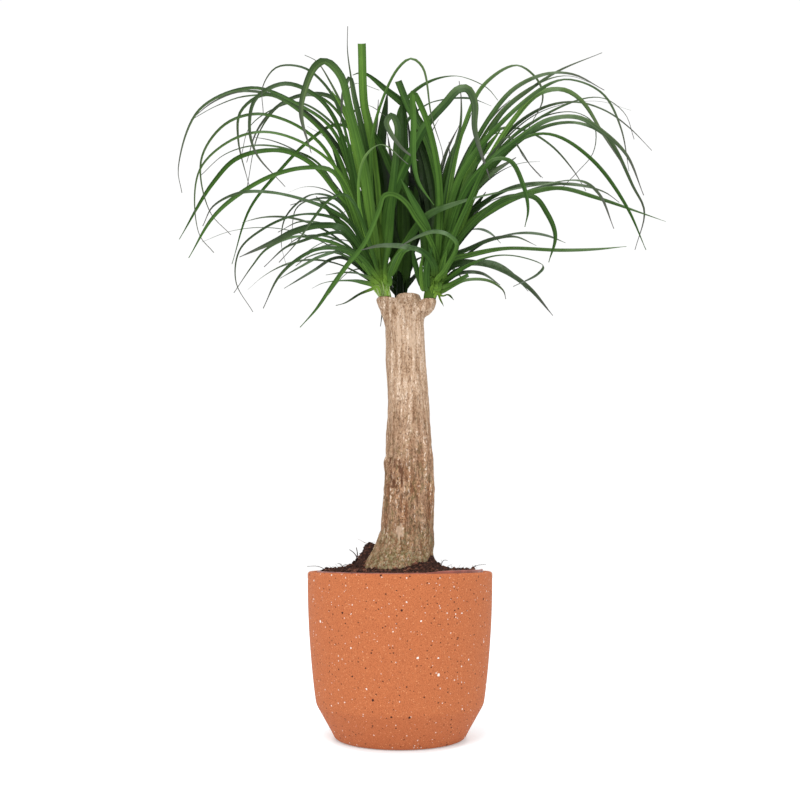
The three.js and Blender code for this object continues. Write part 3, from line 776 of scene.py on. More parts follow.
@dataclass
class OuterPot:
    """Round pot with a chamfered foot."""

    height: float = 163.0
    radius: float = 94.4
    wall: float = 7.0
    foot: float = 62.0
    chamfer_top: float = 33.0
    crease: float = 84.0
    rim_round: float = 2.6
    sides: int = 128

    def outer(self, height: float) -> float:
        """Gives the wall's outer radius."""
        rise = (height - self.chamfer_top) / (self.height - self.chamfer_top)
        return self.crease + (self.radius - self.crease) * math.sin(max(rise, 0) * math.pi / 2) ** 0.85

    def profile(self) -> list[Point]:
        """Draws half the pot's section.

        Returns:
            Radius and height in mm, from the underside's middle outwards and round.
        """
        foot, crease, top = self.foot, self.chamfer_top, self.height
        fillet = [(foot + 5 * math.sin(a), 5 - 5 * math.cos(a)) for a in np.linspace(0, 1.05, 7)]
        slope = [(mix(foot + 5.2, self.crease, s), mix(4.6, crease, s)) for s in (0.12, 0.5, 0.93)]
        walls = np.linspace(crease + 3, top - self.rim_round, 22)
        bead = [(self.radius - self.rim_round + self.rim_round * math.cos(a),
                 top - self.rim_round + self.rim_round * math.sin(a))
                for a in np.linspace(0.2, math.pi / 2, 6)]
        inner_edge = self.radius - self.wall
        inner_bead = [(inner_edge + self.rim_round - self.rim_round * math.sin(a),
                       top - self.rim_round + self.rim_round * math.cos(a))
                      for a in np.linspace(0, 1.4, 6)]
        inner = [(self.outer(h) - self.wall, h) for h in walls[::-1]]
        return [(0, 0), (foot * 0.5, 0), *fillet, *slope, (self.crease - 0.1, crease + 0.4),
                *((self.outer(h), h) for h in walls), *bead, *inner_bead, *inner,
                (self.crease - self.wall, crease + 2), (foot + 5, self.wall + 7), (foot - 1, self.wall),
                (0, self.wall)]

    def build(self) -> bpy.types.Object:
        """Makes and dresses the pot.

        Returns:
            The piece.
        """
        skin = Skin()
        skin.add(*lathe(self.profile(), self.sides))
        return settle(skin.build("outer_pot"), SpeckledClay().material(), Slot.POT, "pot")


@dataclass
class NurseryPot:
    """Thin plastic pot inside the outer one, whose lip shows above the rim."""

    rim: float = 85.0
    top: float = 164.5
    wall: float = 1.6
    floor: float = 2.0
    lip: float = 12.0
    bottom: float = 7.3
    stand: float = 7.0
    foot_radius: float = 58.0
    shoulder_radius: float = 80.5
    sides: int = 120

    def radius(self, height: float) -> float:
        """Gives the outer radius below the lip."""
        share = (height - self.stand) / (self.top - self.lip - self.stand)
        return mix(self.foot_radius, self.shoulder_radius, share)

    def build(self) -> bpy.types.Object:
        """Makes and dresses it, with a lip that stands higher at the front right.

        Returns:
            The piece.
        """
        lip_foot = self.top - self.lip
        profile = [(0, self.bottom), (self.radius(self.bottom), self.bottom), (self.radius(90), 90),
                   (self.radius(lip_foot), lip_foot), (self.rim - 0.6, lip_foot), (self.rim, lip_foot + 1.5),
                   (self.rim, self.top - 0.8), (self.rim - 0.2, self.top - 0.2), (self.rim - 0.7, self.top),
                   (self.rim - 1.6, self.top), (self.rim - 2.1, self.top - 0.3),
                   (self.rim - 2.4, self.top - 1.0),
                   (self.radius(lip_foot) - self.wall, lip_foot - 2), (self.radius(90) - self.wall, 90),
                   (self.radius(self.bottom + 2) - self.wall, self.bottom + self.floor),
                   (0, self.bottom + self.floor)]
        points, faces = lathe(profile, self.sides)
        turn = np.arctan2(points[:, 1], points[:, 0])
        high = ease(points[:, 2], lip_foot + 2, self.top - 2)
        right = ease(points[:, 0], 20, 46) * ease(-points[:, 1], -30, 10)
        points[:, 2] += high * (1.9 * right - 0.85 + 0.1 * np.sin(7 * turn))
        skin = Skin()
        skin.add(points, faces)
        return settle(skin.build("nursery_liner"), NurseryPlastic().material(), Slot.NURSERY_POT,
                      "nursery_pot")


@dataclass
class Soil:
    """Potting soil, mounded round the trunk, with loose crumbs and fibres.

    The heap in front of the trunk reaches to the left, to the right, and to the front and back.
    """

    level: float = 163.5
    edge: float = 81.2
    bottom: float = 9.6
    rings: int = 70
    sides: int = 200
    crumbs: int = 2600
    fibres: int = 260
    seed: int = 5
    inner_edge: float = 14.0
    clear: float = 2.1
    heap_at: Point = (32, -36)
    heap_height: float = 11.0
    heap_reach: Triple = (20, 12, 8)
    standing: tuple[tuple[Triple, Triple, Triple, float], ...] = (
        ((-46, 4, 172), (-44, 2, 180), (-45, -1, 187), 0.8),
        ((-43, 3, 174), (-47, 1, 181), (-52, -2, 185), 0.6),
        ((-57, 2, 164), (-61, 0, 170), (-64, -3, 171), 0.5),
        ((-63, 0, 163), (-58, -2, 169), (-54, -3, 170), 0.45),
        ((72, 0, 163), (74, -3, 167), (78, -5, 169), 0.5),
        ((70, 4, 163), (80, 0, 169), (88, -4, 170), 0.35),
        ((-74, 0, 163), (-84, -3, 168), (-95, -6, 168), 0.4),
        ((42, 4, 168), (45, 2, 174), (49, 0, 174), 0.45))

    def height(self, x: float, y: float) -> float:
        """Gives the CAD surface.

        Args:
            x: mm.
            y: mm.

        Returns:
            Its height in mm.
        """
        distance = math.hypot(x + 1, y)
        left = 0.5 - 0.5 * x / max(distance, 1)
        fall = max(0.0, distance - 32)
        mound = mix(13, 22, left) * math.exp(-((fall / 12) ** 2)) + 6 * left * math.exp(-((fall / 30) ** 2))
        waves = 0.5 * math.sin(x * 0.21 + 1) * math.cos(y * 0.17) + 0.4 * math.sin(x * 0.43 + y * 0.37)
        return self.level + mound * mix(0.1, 1, float(ease(y, -10, 10))) + waves

    def rough_height(self, x: float, y: float) -> float:
        """Adds clods to the CAD surface.

        Args:
            x: mm.
            y: mm.

        Returns:
            The height in mm.
        """
        clods = noise.fractal(Vector((x / 9, y / 9, 3)), 0.9, 2.1, 5)
        grit = noise.noise(Vector((x / 1.7, y / 1.7, 8)))
        quiet = mix(0.35, 1, float(ease(y, -30, 0)))
        right, back = x - self.heap_at[0], y - self.heap_at[1]
        reach = self.heap_reach[0 if right < 0 else 1]
        heap = self.heap_height * math.exp(-((right / reach) ** 2) - (back / self.heap_reach[2]) ** 2)
        return self.height(x, y) + quiet * (1.6 * clods + 0.7 * grit) + heap * (1 + 0.5 * clods)

    def body(self, skin: Skin) -> None:
        """Adds the soil body with its rough top.

        Args:
            skin: Where it goes.
        """
        rows = [circle((0, 0, height), NurseryPot().radius(height) - self.clear, self.sides)
                for height in (self.bottom, 90.0, 150.0)]
        for radius in np.linspace(self.edge, self.inner_edge, self.rings):
            ring = circle((0, 0, 0), radius, self.sides)
            ring[:, 2] = [self.rough_height(x, y) for x, y, _ in ring]
            rows.append(ring)
        skin.add(np.vstack(rows), ring_faces(len(rows), self.sides), tone=0.0)

    def loose(self, skin: Skin) -> None:
        """Adds crumbs that lie on the top.

        Args:
            skin: Where they go.
        """
        random = random_from(self.seed)
        upper = np.array([(0.89, 0, 0.45), (0.28, 0.85, 0.45), (-0.72, 0.53, 0.45), (-0.72, -0.53, 0.45),
                          (0.28, -0.85, 0.45)])
        corners = np.vstack([UP, upper, -np.roll(upper, 2, axis=0), -UP])
        pairs = [(corner, corner % 5 + 1) for corner in range(1, 6)]
        faces = [*((0, a, b) for a, b in pairs), *((a, a + 5, b) for a, b in pairs),
                 *((a + 5, b + 5, b) for a, b in pairs), *((11, b + 5, a + 5) for a, b in pairs)]
        for _ in range(self.crumbs):
            turn, radius = 2 * math.pi * random(), 26 + 53 * random() ** 0.8
            x, y = radius * math.cos(turn), radius * math.sin(turn)
            size = 0.5 + 1.9 * random() ** 3
            uneven = np.array([random() for _ in corners])[:, None] - 0.5
            shape = corners * size * (1 + 0.45 * uneven)
            shape = shape * np.array([1, 0.6 + 0.6 * random(), 0.5 + 0.4 * random()])
            skin.add(shape + np.array([x, y, self.rough_height(x, y) + 0.25 * size]), faces,
                     tone=random() ** 2)

    def threads(self, skin: Skin) -> None:
        """Adds thin fibres lying on the top and standing out of it.

        Args:
            skin: Where they go.
        """
        random = random_from(self.seed + 4)
        for _ in range(self.fibres):
            turn, radius = 2 * math.pi * random(), 28 + 48 * random()
            x, y = radius * math.cos(turn), radius * math.sin(turn)
            heading, lift, length = 2 * math.pi * random(), 0.1 + 0.6 * random() ** 2, 3 + 9 * random()
            start = np.array([x, y, self.rough_height(x, y) - 0.4])
            out = np.array([math.cos(heading), math.sin(heading), lift])
            bow = np.array([-out[1], out[0], 0.1]) * length * 0.35 * (random() - 0.5)
            line = np.array([start + out * length * s + bow * math.sin(math.pi * s)
                             for s in np.linspace(0, 1, 6)])
            line[:, :2] *= np.minimum(1, 81 / np.hypot(line[:, 0], line[:, 1]))[:, None]
            thick = 0.12 + 0.16 * random()
            add_rod(skin, line, np.linspace(thick, thick * 0.4, 6), 4, tone=0.3 + 0.7 * random())

    def twigs(self, skin: Skin) -> None:
        """Adds the few twigs that stand up.

        Args:
            skin: Where they go.
        """
        for start, bend, end, thick in self.standing:
            line = smooth_line(np.array([start, bend, end], dtype=float), 7)
            add_rod(skin, line, np.linspace(thick, thick * 0.5, 7), 6, tone=0.2)

    def build(self) -> bpy.types.Object:
        """Makes and dresses the soil.

        Returns:
            The piece.
        """
        skin = Skin()
        for fill in (self.body, self.loose, self.threads, self.twigs):
            fill(skin)
        return settle(skin.build("potting_soil"), PottingSoil().material(), Slot.SOIL, "soil")


@dataclass(frozen=True)
class Spur:
    """Short side branch with a level top: middles and radii of its rings from the foot up."""

    rings: tuple[tuple[Triple, float], ...]

    @property
    def top(self) -> np.ndarray:
        """Gives the middle of the top."""
        return np.array(self.rings[-1][0])

    @property
    def radius(self) -> float:
        """Gives the radius of the top."""
        return self.rings[-1][1]


SPURS = (
    Spur((((-4, -3, 418), 11), ((-9.8, -4.5, 434), 10.8), ((-15.5, -6, 450.5), 10.7))),
    Spur((((11, -3, 428), 10.5), ((18.5, -3.5, 433), 12.8), ((25, -5, 438), 11.4), ((29.5, -6, 443.5), 9.2),
          ((31.5, -6, 449), 8.3))),
    Spur((((4, 6, 422), 11), ((0, 23, 451), 7))),
)


@dataclass(frozen=True)
class Mark:
    """Egg-shaped area of the bark: its middle and half-sizes in mm, and how uneven its edge is."""

    place: Triple
    reach: Triple
    ragged: float = 1.1

    def on(self, points: np.ndarray) -> np.ndarray:
        """Says how near points are to its middle.

        Args:
            points: Rows of x, y, z in mm.

        Returns:
            1 in the middle to 0 at the edge, one number a point.
        """
        near = 1 - (((points - np.array(self.place)) / np.array(self.reach)) ** 2).sum(axis=1)
        for index in np.flatnonzero(near > -1.2):
            x, y, z = points[index]
            near[index] += self.ragged * noise.fractal(Vector((x / 2.6, y / 2.6, z / 6)), 0.8, 2.0, 3)
        return np.clip(1.4 * near, 0, 1)


@dataclass
class Trunk:
    """Trunk with its sawn top, short side branches and buried roots."""

    sections: tuple[Triple, ...] = (
        (64, 0, 12), (74, 0, 30), (92, 0, 41), (115, 0, 44), (140, -1, 41), (156, -1, 38), (168, -1, 36),
        (182, 2.4, 31.6), (193, 4.7, 29.3), (205, 6.8, 27.2), (245, 8.7, 26.5), (277, 9.9, 25),
        (299, 10, 23.9), (339, 9, 21.7), (382, 6.1, 21.1), (427, 4.4, 20.6), (440, 6, 19.4),
        (449, 8.4, 14.2), (455.5, 9, 12.6))
    flutes: tuple[Triple, ...] = ((3, 0.7, 0.4), (5, 0.5, 1.9), (8, 0.4, 0.3))
    roots: tuple[Point, ...] = ((20, 30), (95, 26), (160, 32), (235, 28), (305, 30))
    voxel: float = 1.25
    smoothings: int = 6
    sides: int = 72
    cut_height: float = 440.0
    scar: Mark = Mark((-8, -24, 262), (17, 16, 17))
    knot: Mark = Mark((-17, -14, 272), (6, 14, 12), 0.0)
    patches: tuple[Mark, ...] = (Mark((0, -26, 202), (4.5, 12, 9)), Mark((-1, -22, 408), (3.5, 12, 22)),
                                 Mark((13, -22, 405), (5, 12, 26)))

    def centre(self, height: np.ndarray) -> np.ndarray:
        """Finds the x of the axis at a height."""
        rows = np.array(self.sections)
        return np.interp(height, rows[:, 0], rows[:, 1])

    def rough_shape(self) -> bpy.types.Object:
        """Joins trunk, branches and roots into one even mesh.

        Returns:
            A temporary object.
        """
        skin = Skin()
        turn = turns(self.sides)
        rows = []
        for height, centre, radius in self.sections:
            wave = sum(size * np.sin(count * turn + phase + height * 0.011 * count)
                       for count, size, phase in self.flutes)
            rows.append(circle((centre, 0, height), radius + wave * min(1, radius / 26), self.sides))
        skin.add(np.vstack(rows), ring_faces(len(rows), self.sides))
        for spur in SPURS:
            rings = [circle(middle, radius, self.sides) for middle, radius in spur.rings]
            skin.add(np.vstack(rings), ring_faces(len(rings), self.sides))
        for azimuth, length in self.roots:
            out = unit(np.array([math.cos(math.radians(azimuth)), math.sin(math.radians(azimuth)), -0.9]))
            foot = out * 20 + np.array([0, 0, 92])
            add_rod(skin, np.array([foot, foot + out * (12 + length)]), (6, 2.5), 16)
        rough = skin.build("trunk_rough")
        modifier = rough.modifiers.new("even", "REMESH")
        modifier.mode = "VOXEL"
        modifier.voxel_size = self.voxel * MM
        return rough

    def relief(self, points: np.ndarray) -> tuple[np.ndarray, np.ndarray]:
        """Works out the bark's relief.

        Args:
            points: Rows of x, y, z in mm.

        Returns:
            How far each point moves outwards in mm, and how deep in a fissure it is, 0 to 1.
        """
        shift, depth = np.zeros(len(points)), np.zeros(len(points))
        centres = self.centre(points[:, 2])
        for index, (x, y, z) in enumerate(points):
            px = x - centres[index]
            ribs = noise.noise(Vector((px / 6.5, y / 6.5, z / 75)))
            grain = noise.noise(Vector((px / 3.1, y / 3.1, z / 34 + 9)))
            flakes = noise.noise(Vector((px / 2.4, y / 2.4, z / 7 + 40)))
            lump = noise.fractal(Vector((px / 14, y / 14, z / 24)), 0.8, 2.0, 3)
            crack = max(0.0, 1 - abs(grain + 0.1) / 0.13)
            depth[index] = min(1.0, crack)
            strength = mix(1.0, 0.6, float(ease(z, 330, 440))) + 0.8 * float(ease(-z, -310, -250))
            shift[index] = strength * (0.9 * ribs + 0.45 * grain + 0.35 * flakes - 0.45 * crack) + 0.5 * lump
        return shift, depth

    def build(self) -> bpy.types.Object:
        """Makes and dresses the trunk.

        Returns:
            The piece.
        """
        rough = self.rough_shape()
        evaluated = rough.evaluated_get(bpy.context.evaluated_depsgraph_get())
        mesh = bpy.data.meshes.new_from_object(evaluated)
        bpy.data.objects.remove(rough)
        points = self.smoothed(mesh, read_rows(mesh.vertices, "co", 3) / MM)
        mesh.vertices.foreach_set("co", (points * MM).ravel())
        mesh.update()
        normals = read_rows(mesh.vertices, "normal", 3)
        shift, depth = self.relief(points)
        level = np.clip((normals[:, 2] - 0.75) / 0.2, 0, 1) * (points[:, 2] > self.cut_height)
        scar = self.scar.on(points)
        patch = sum(mark.on(points) for mark in self.patches)
        shift = shift * (1 - 0.7 * level) * (1 - 0.6 * np.minimum(patch, 1))
        shift = shift - 0.8 * scar + 2.6 * self.knot.on(points) + 0.5 * patch
        points = points + normals * shift[:, None]
        mesh.vertices.foreach_set("co", (points * MM).ravel())
        write_values(mesh, {"fissure": depth * (1 - level), "sawn": level, "scar": scar, "patch": patch})
        mesh.polygons.foreach_set("use_smooth", [True] * len(mesh.polygons))
        mesh.update()
        return settle(put_in_scene("bark_trunk", mesh), FissuredBark().material(), Slot.BARK, "trunk")

    def smoothed(self, mesh: bpy.types.Mesh, points: np.ndarray) -> np.ndarray:
        """Evens out steps by averaging neighbours.

        Args:
            mesh: Gives the edges.
            points: Rows of x, y, z.

        Returns:
            The moved rows.
        """
        edges = read_rows(mesh.edges, "vertices", 2, np.int64)
        share = np.bincount(edges.ravel(), minlength=len(points))[:, None]
        for _ in range(self.smoothings):
            total = np.zeros_like(points)
            np.add.at(total, edges[:, 0], points[edges[:, 1]])
            np.add.at(total, edges[:, 1], points[edges[:, 0]])
            points = 0.5 * points + 0.5 * total / share
        return points


@dataclass(frozen=True)
class Leaf:
    """A leading leaf: the depth of its tip, its width, and points as x and z seen from the eye.

    A higher swell makes the leaf broader near its root.
    """

    depth: float
    width: float
    through: tuple[Point, ...]
    form: Form = Form.TAPERED
    # tone: the leaf's own green, with painted shade given to leaves deep in the crown and painted light to
    # lit ones
    tone: Optional[float] = None
    swell: float = 1.9


LEFT_LEAVES = (
    Leaf(15, 4.4, ((-72, 640), (-111, 673), (-166, 694), (-223, 668), (-244, 600), (-239, 571)), tone=0.5),
    Leaf(45, 5, ((-66, 620), (-123, 677), (-175, 690), (-208, 677), (-232, 656))),
    Leaf(75, 4, ((-60, 612), (-128, 680), (-172, 684), (-205, 672), (-230, 657))),
    Leaf(-70, 3.8, ((-68, 668), (-85, 699), (-108, 718), (-137, 719), (-153, 696), (-152, 664))),
    Leaf(-45, 5.6, ((-72, 656), (-97, 687), (-129, 699), (-160, 682), (-167, 650), (-159, 617),
         (-126, 578))),
    Leaf(30, 5, ((-72, 621), (-111, 666), (-150, 686), (-177, 666), (-179, 633), (-165, 577))),
    Leaf(95, 6.5, ((-52, 640), (-77, 683), (-110, 685), (-136, 672), (-158, 644), (-169, 606))),
    Leaf(120, 4, ((-50, 632), (-92, 684), (-130, 676), (-156, 641), (-168, 577))),
    Leaf(110, 3.5, ((-55, 625), (-111, 676), (-142, 668), (-167, 647), (-175, 614))),
    Leaf(-30, 3.9, ((-76, 610), (-96, 636), (-128, 656), (-162, 663), (-195, 650), (-219, 610), (-208, 550),
         (-184, 523))),
    Leaf(-60, 3.4, ((-66, 594), (-109, 630), (-153, 642), (-190, 630), (-221, 596), (-219, 525),
         (-202, 503))),
    Leaf(90, 3.3, ((-88, 603), (-122, 621), (-160, 626), (-194, 615), (-219, 591))),
    Leaf(-15, 4.8, ((-49, 546), (-70, 573), (-94, 602), (-130, 620), (-178, 612), (-205, 583), (-240, 518)),
         tone=0.5, form=Form.BLUNT),
    Leaf(-90, 4.4, ((-60, 575), (-76, 597), (-105, 600), (-140, 591), (-177, 569), (-204, 543),
         (-229, 497)), tone=0.5, form=Form.BLUNT),
    Leaf(-120, 4.5, ((-51, 533), (-73, 550), (-104, 563), (-143, 572), (-176, 571), (-204, 556),
         (-215, 533)), tone=0.42),
    Leaf(60, 3.6, ((-48, 640), (-72, 650), (-100, 632), (-132, 597), (-164, 553), (-182, 490)),
         tone=0.4, form=Form.BLUNT),
    Leaf(75, 3.5, ((-60, 535), (-86, 546), (-116, 545), (-149, 530), (-174, 506), (-177, 470),
         (-158, 437))),
    Leaf(-140, 8, ((-60, 529), (-86, 534), (-115, 527), (-136, 516), (-174, 498)), tone=0.3, swell=0.85),
    Leaf(35, 3.9, ((-60, 508), (-86, 518), (-115, 521), (-145, 507), (-160, 488), (-179, 458))),
    Leaf(-110, 4, ((-60, 524), (-82, 524), (-107, 516), (-124, 509), (-147, 487)), tone=0.25),
    Leaf(-150, 4.2, ((-45, 500), (-67, 508), (-90, 507), (-112, 495), (-131, 476), (-147, 441)), tone=0.4),
    Leaf(95, 4.5, ((-60, 504), (-86, 499), (-108, 487), (-130, 474))),
    Leaf(130, 4.5, ((-60, 497), (-74, 496), (-92, 484), (-125, 463))),
    Leaf(-60, 3.6, ((-40, 478), (-59, 481), (-80, 478)), tone=0.15),
    Leaf(60, 4.5, ((-40, 470), (-59, 472), (-83, 469), (-95, 463))),
    Leaf(-40, 3, ((-31, 462), (-43, 457), (-59, 447), (-69, 444)), tone=0.1),
    Leaf(-190, 3.4, ((-49, 557), (-61, 569), (-76, 564), (-97, 538), (-111, 516), (-131, 492)), tone=0.35),
    Leaf(110, 4, ((-61, 555), (-79, 568), (-100, 568), (-125, 543), (-129, 514), (-123, 488))),
    Leaf(170, 3.5, ((-60, 560), (-98, 563), (-114, 552), (-118, 514))),
    Leaf(40, 4.5, ((-27, 563), (-55, 650), (-77, 699), (-94, 726), (-107, 733))),
    Leaf(-110, 10, ((-39, 598), (-56, 670), (-66, 708), (-83, 726), (-94, 721), (-107, 690), (-110, 662),
         (-98, 617)), tone=0.66),
    Leaf(10, 4, ((-37, 598), (-55, 708), (-59, 739), (-59, 768))),
    Leaf(-40, 8, ((-33, 598), (-50, 680), (-56, 706), (-63, 690), (-66, 650))),
    Leaf(-25, 9, ((-25, 560), (-34, 644), (-40, 675), (-43, 747)), form=Form.CUT, tone=0.78),
    Leaf(-60, 11, ((-15, 517), (-10, 562), (14, 621), (29, 650), (50, 675), (65, 692), (75, 693), (83, 676),
         (83, 644), (99, 586)), tone=0.42, form=Form.FLAT),
    Leaf(-45, 9.5, ((-14, 520), (-10, 562), (-4, 621), (-3, 650), (-9, 661), (-15, 654), (-10, 640),
         (3, 622), (20, 608)), tone=0.5),
    Leaf(-70, 3.6, ((-32, 621), (-24, 666), (-3, 716), (12, 729), (25, 719), (35, 660), (47, 617),
         (47, 603)), tone=0.62, swell=2.6),
    Leaf(-25, 7, ((-10, 480), (3, 505), (12, 510)), form=Form.CUT),
    Leaf(-120, 7, ((-8, 490), (27, 543), (60, 559), (119, 574), (153, 580), (199, 585), (218, 570),
         (233, 530)), tone=0.34),
    Leaf(60, 5, ((-42, 600), (-54, 662), (-36, 673), (-11, 656))),
    Leaf(35, 3.5, ((-45, 600), (-60, 685), (-50, 699), (-23, 691))),
    Leaf(-100, 4, ((-45, 560), (-40, 610), (-22, 627), (9, 604))),
    Leaf(-35, 10, ((-24, 520), (-44, 600), (-58, 660), (-76, 690)), tone=0.95, form=Form.BLUNT),
    Leaf(20, 8, ((-22, 520), (-34, 602), (-26, 650), (-24, 680))),
    Leaf(35, 8.5, ((-24, 492), (-28, 534), (-31, 579), (-32, 621), (-34, 658), (-42, 689)),
         tone=0.14, form=Form.BLUNT),
    Leaf(50, 8, ((-19, 492), (-22, 534), (-26, 579), (-29, 621), (-28, 656)), tone=0.06, form=Form.BLUNT),
    Leaf(25, 8, ((-17, 500), (-17, 540), (-21, 580), (-25, 609), (-31, 638)), tone=0.2, form=Form.BLUNT),
    Leaf(40, 8, ((-32, 492), (-46, 534), (-58, 572), (-68, 609), (-80, 642)), tone=0.25, form=Form.BLUNT),
    Leaf(45, 7, ((-35, 486), (-54, 520), (-73, 546), (-92, 567)), tone=0.15, form=Form.BLUNT),
    Leaf(-20, 9, ((-25, 469), (-31, 481), (-41, 492)), tone=0.8, form=Form.BLUNT),
    Leaf(-60, 4.6, ((-12, 468), (-11, 481), (-2, 501), (12, 509)), tone=0.55, form=Form.BLUNT),
    Leaf(-10, 8, ((-21, 472), (-25, 492), (-35, 517)), tone=0.75, form=Form.BLUNT),
    Leaf(-60, 3.2, ((-38, 492), (-60, 522), (-82, 535), (-109, 538), (-133, 526)), tone=0.25),
    Leaf(-20, 3, ((-37, 488), (-56, 510), (-82, 522), (-109, 520), (-128, 506)), tone=0.2),
    Leaf(20, 3.2, ((-36, 484), (-54, 497), (-76, 504), (-100, 498), (-113, 488)), tone=0.2),
    Leaf(-80, 3.2, ((-35, 500), (-55, 538), (-72, 556), (-96, 563), (-120, 557)), tone=0.3),
)
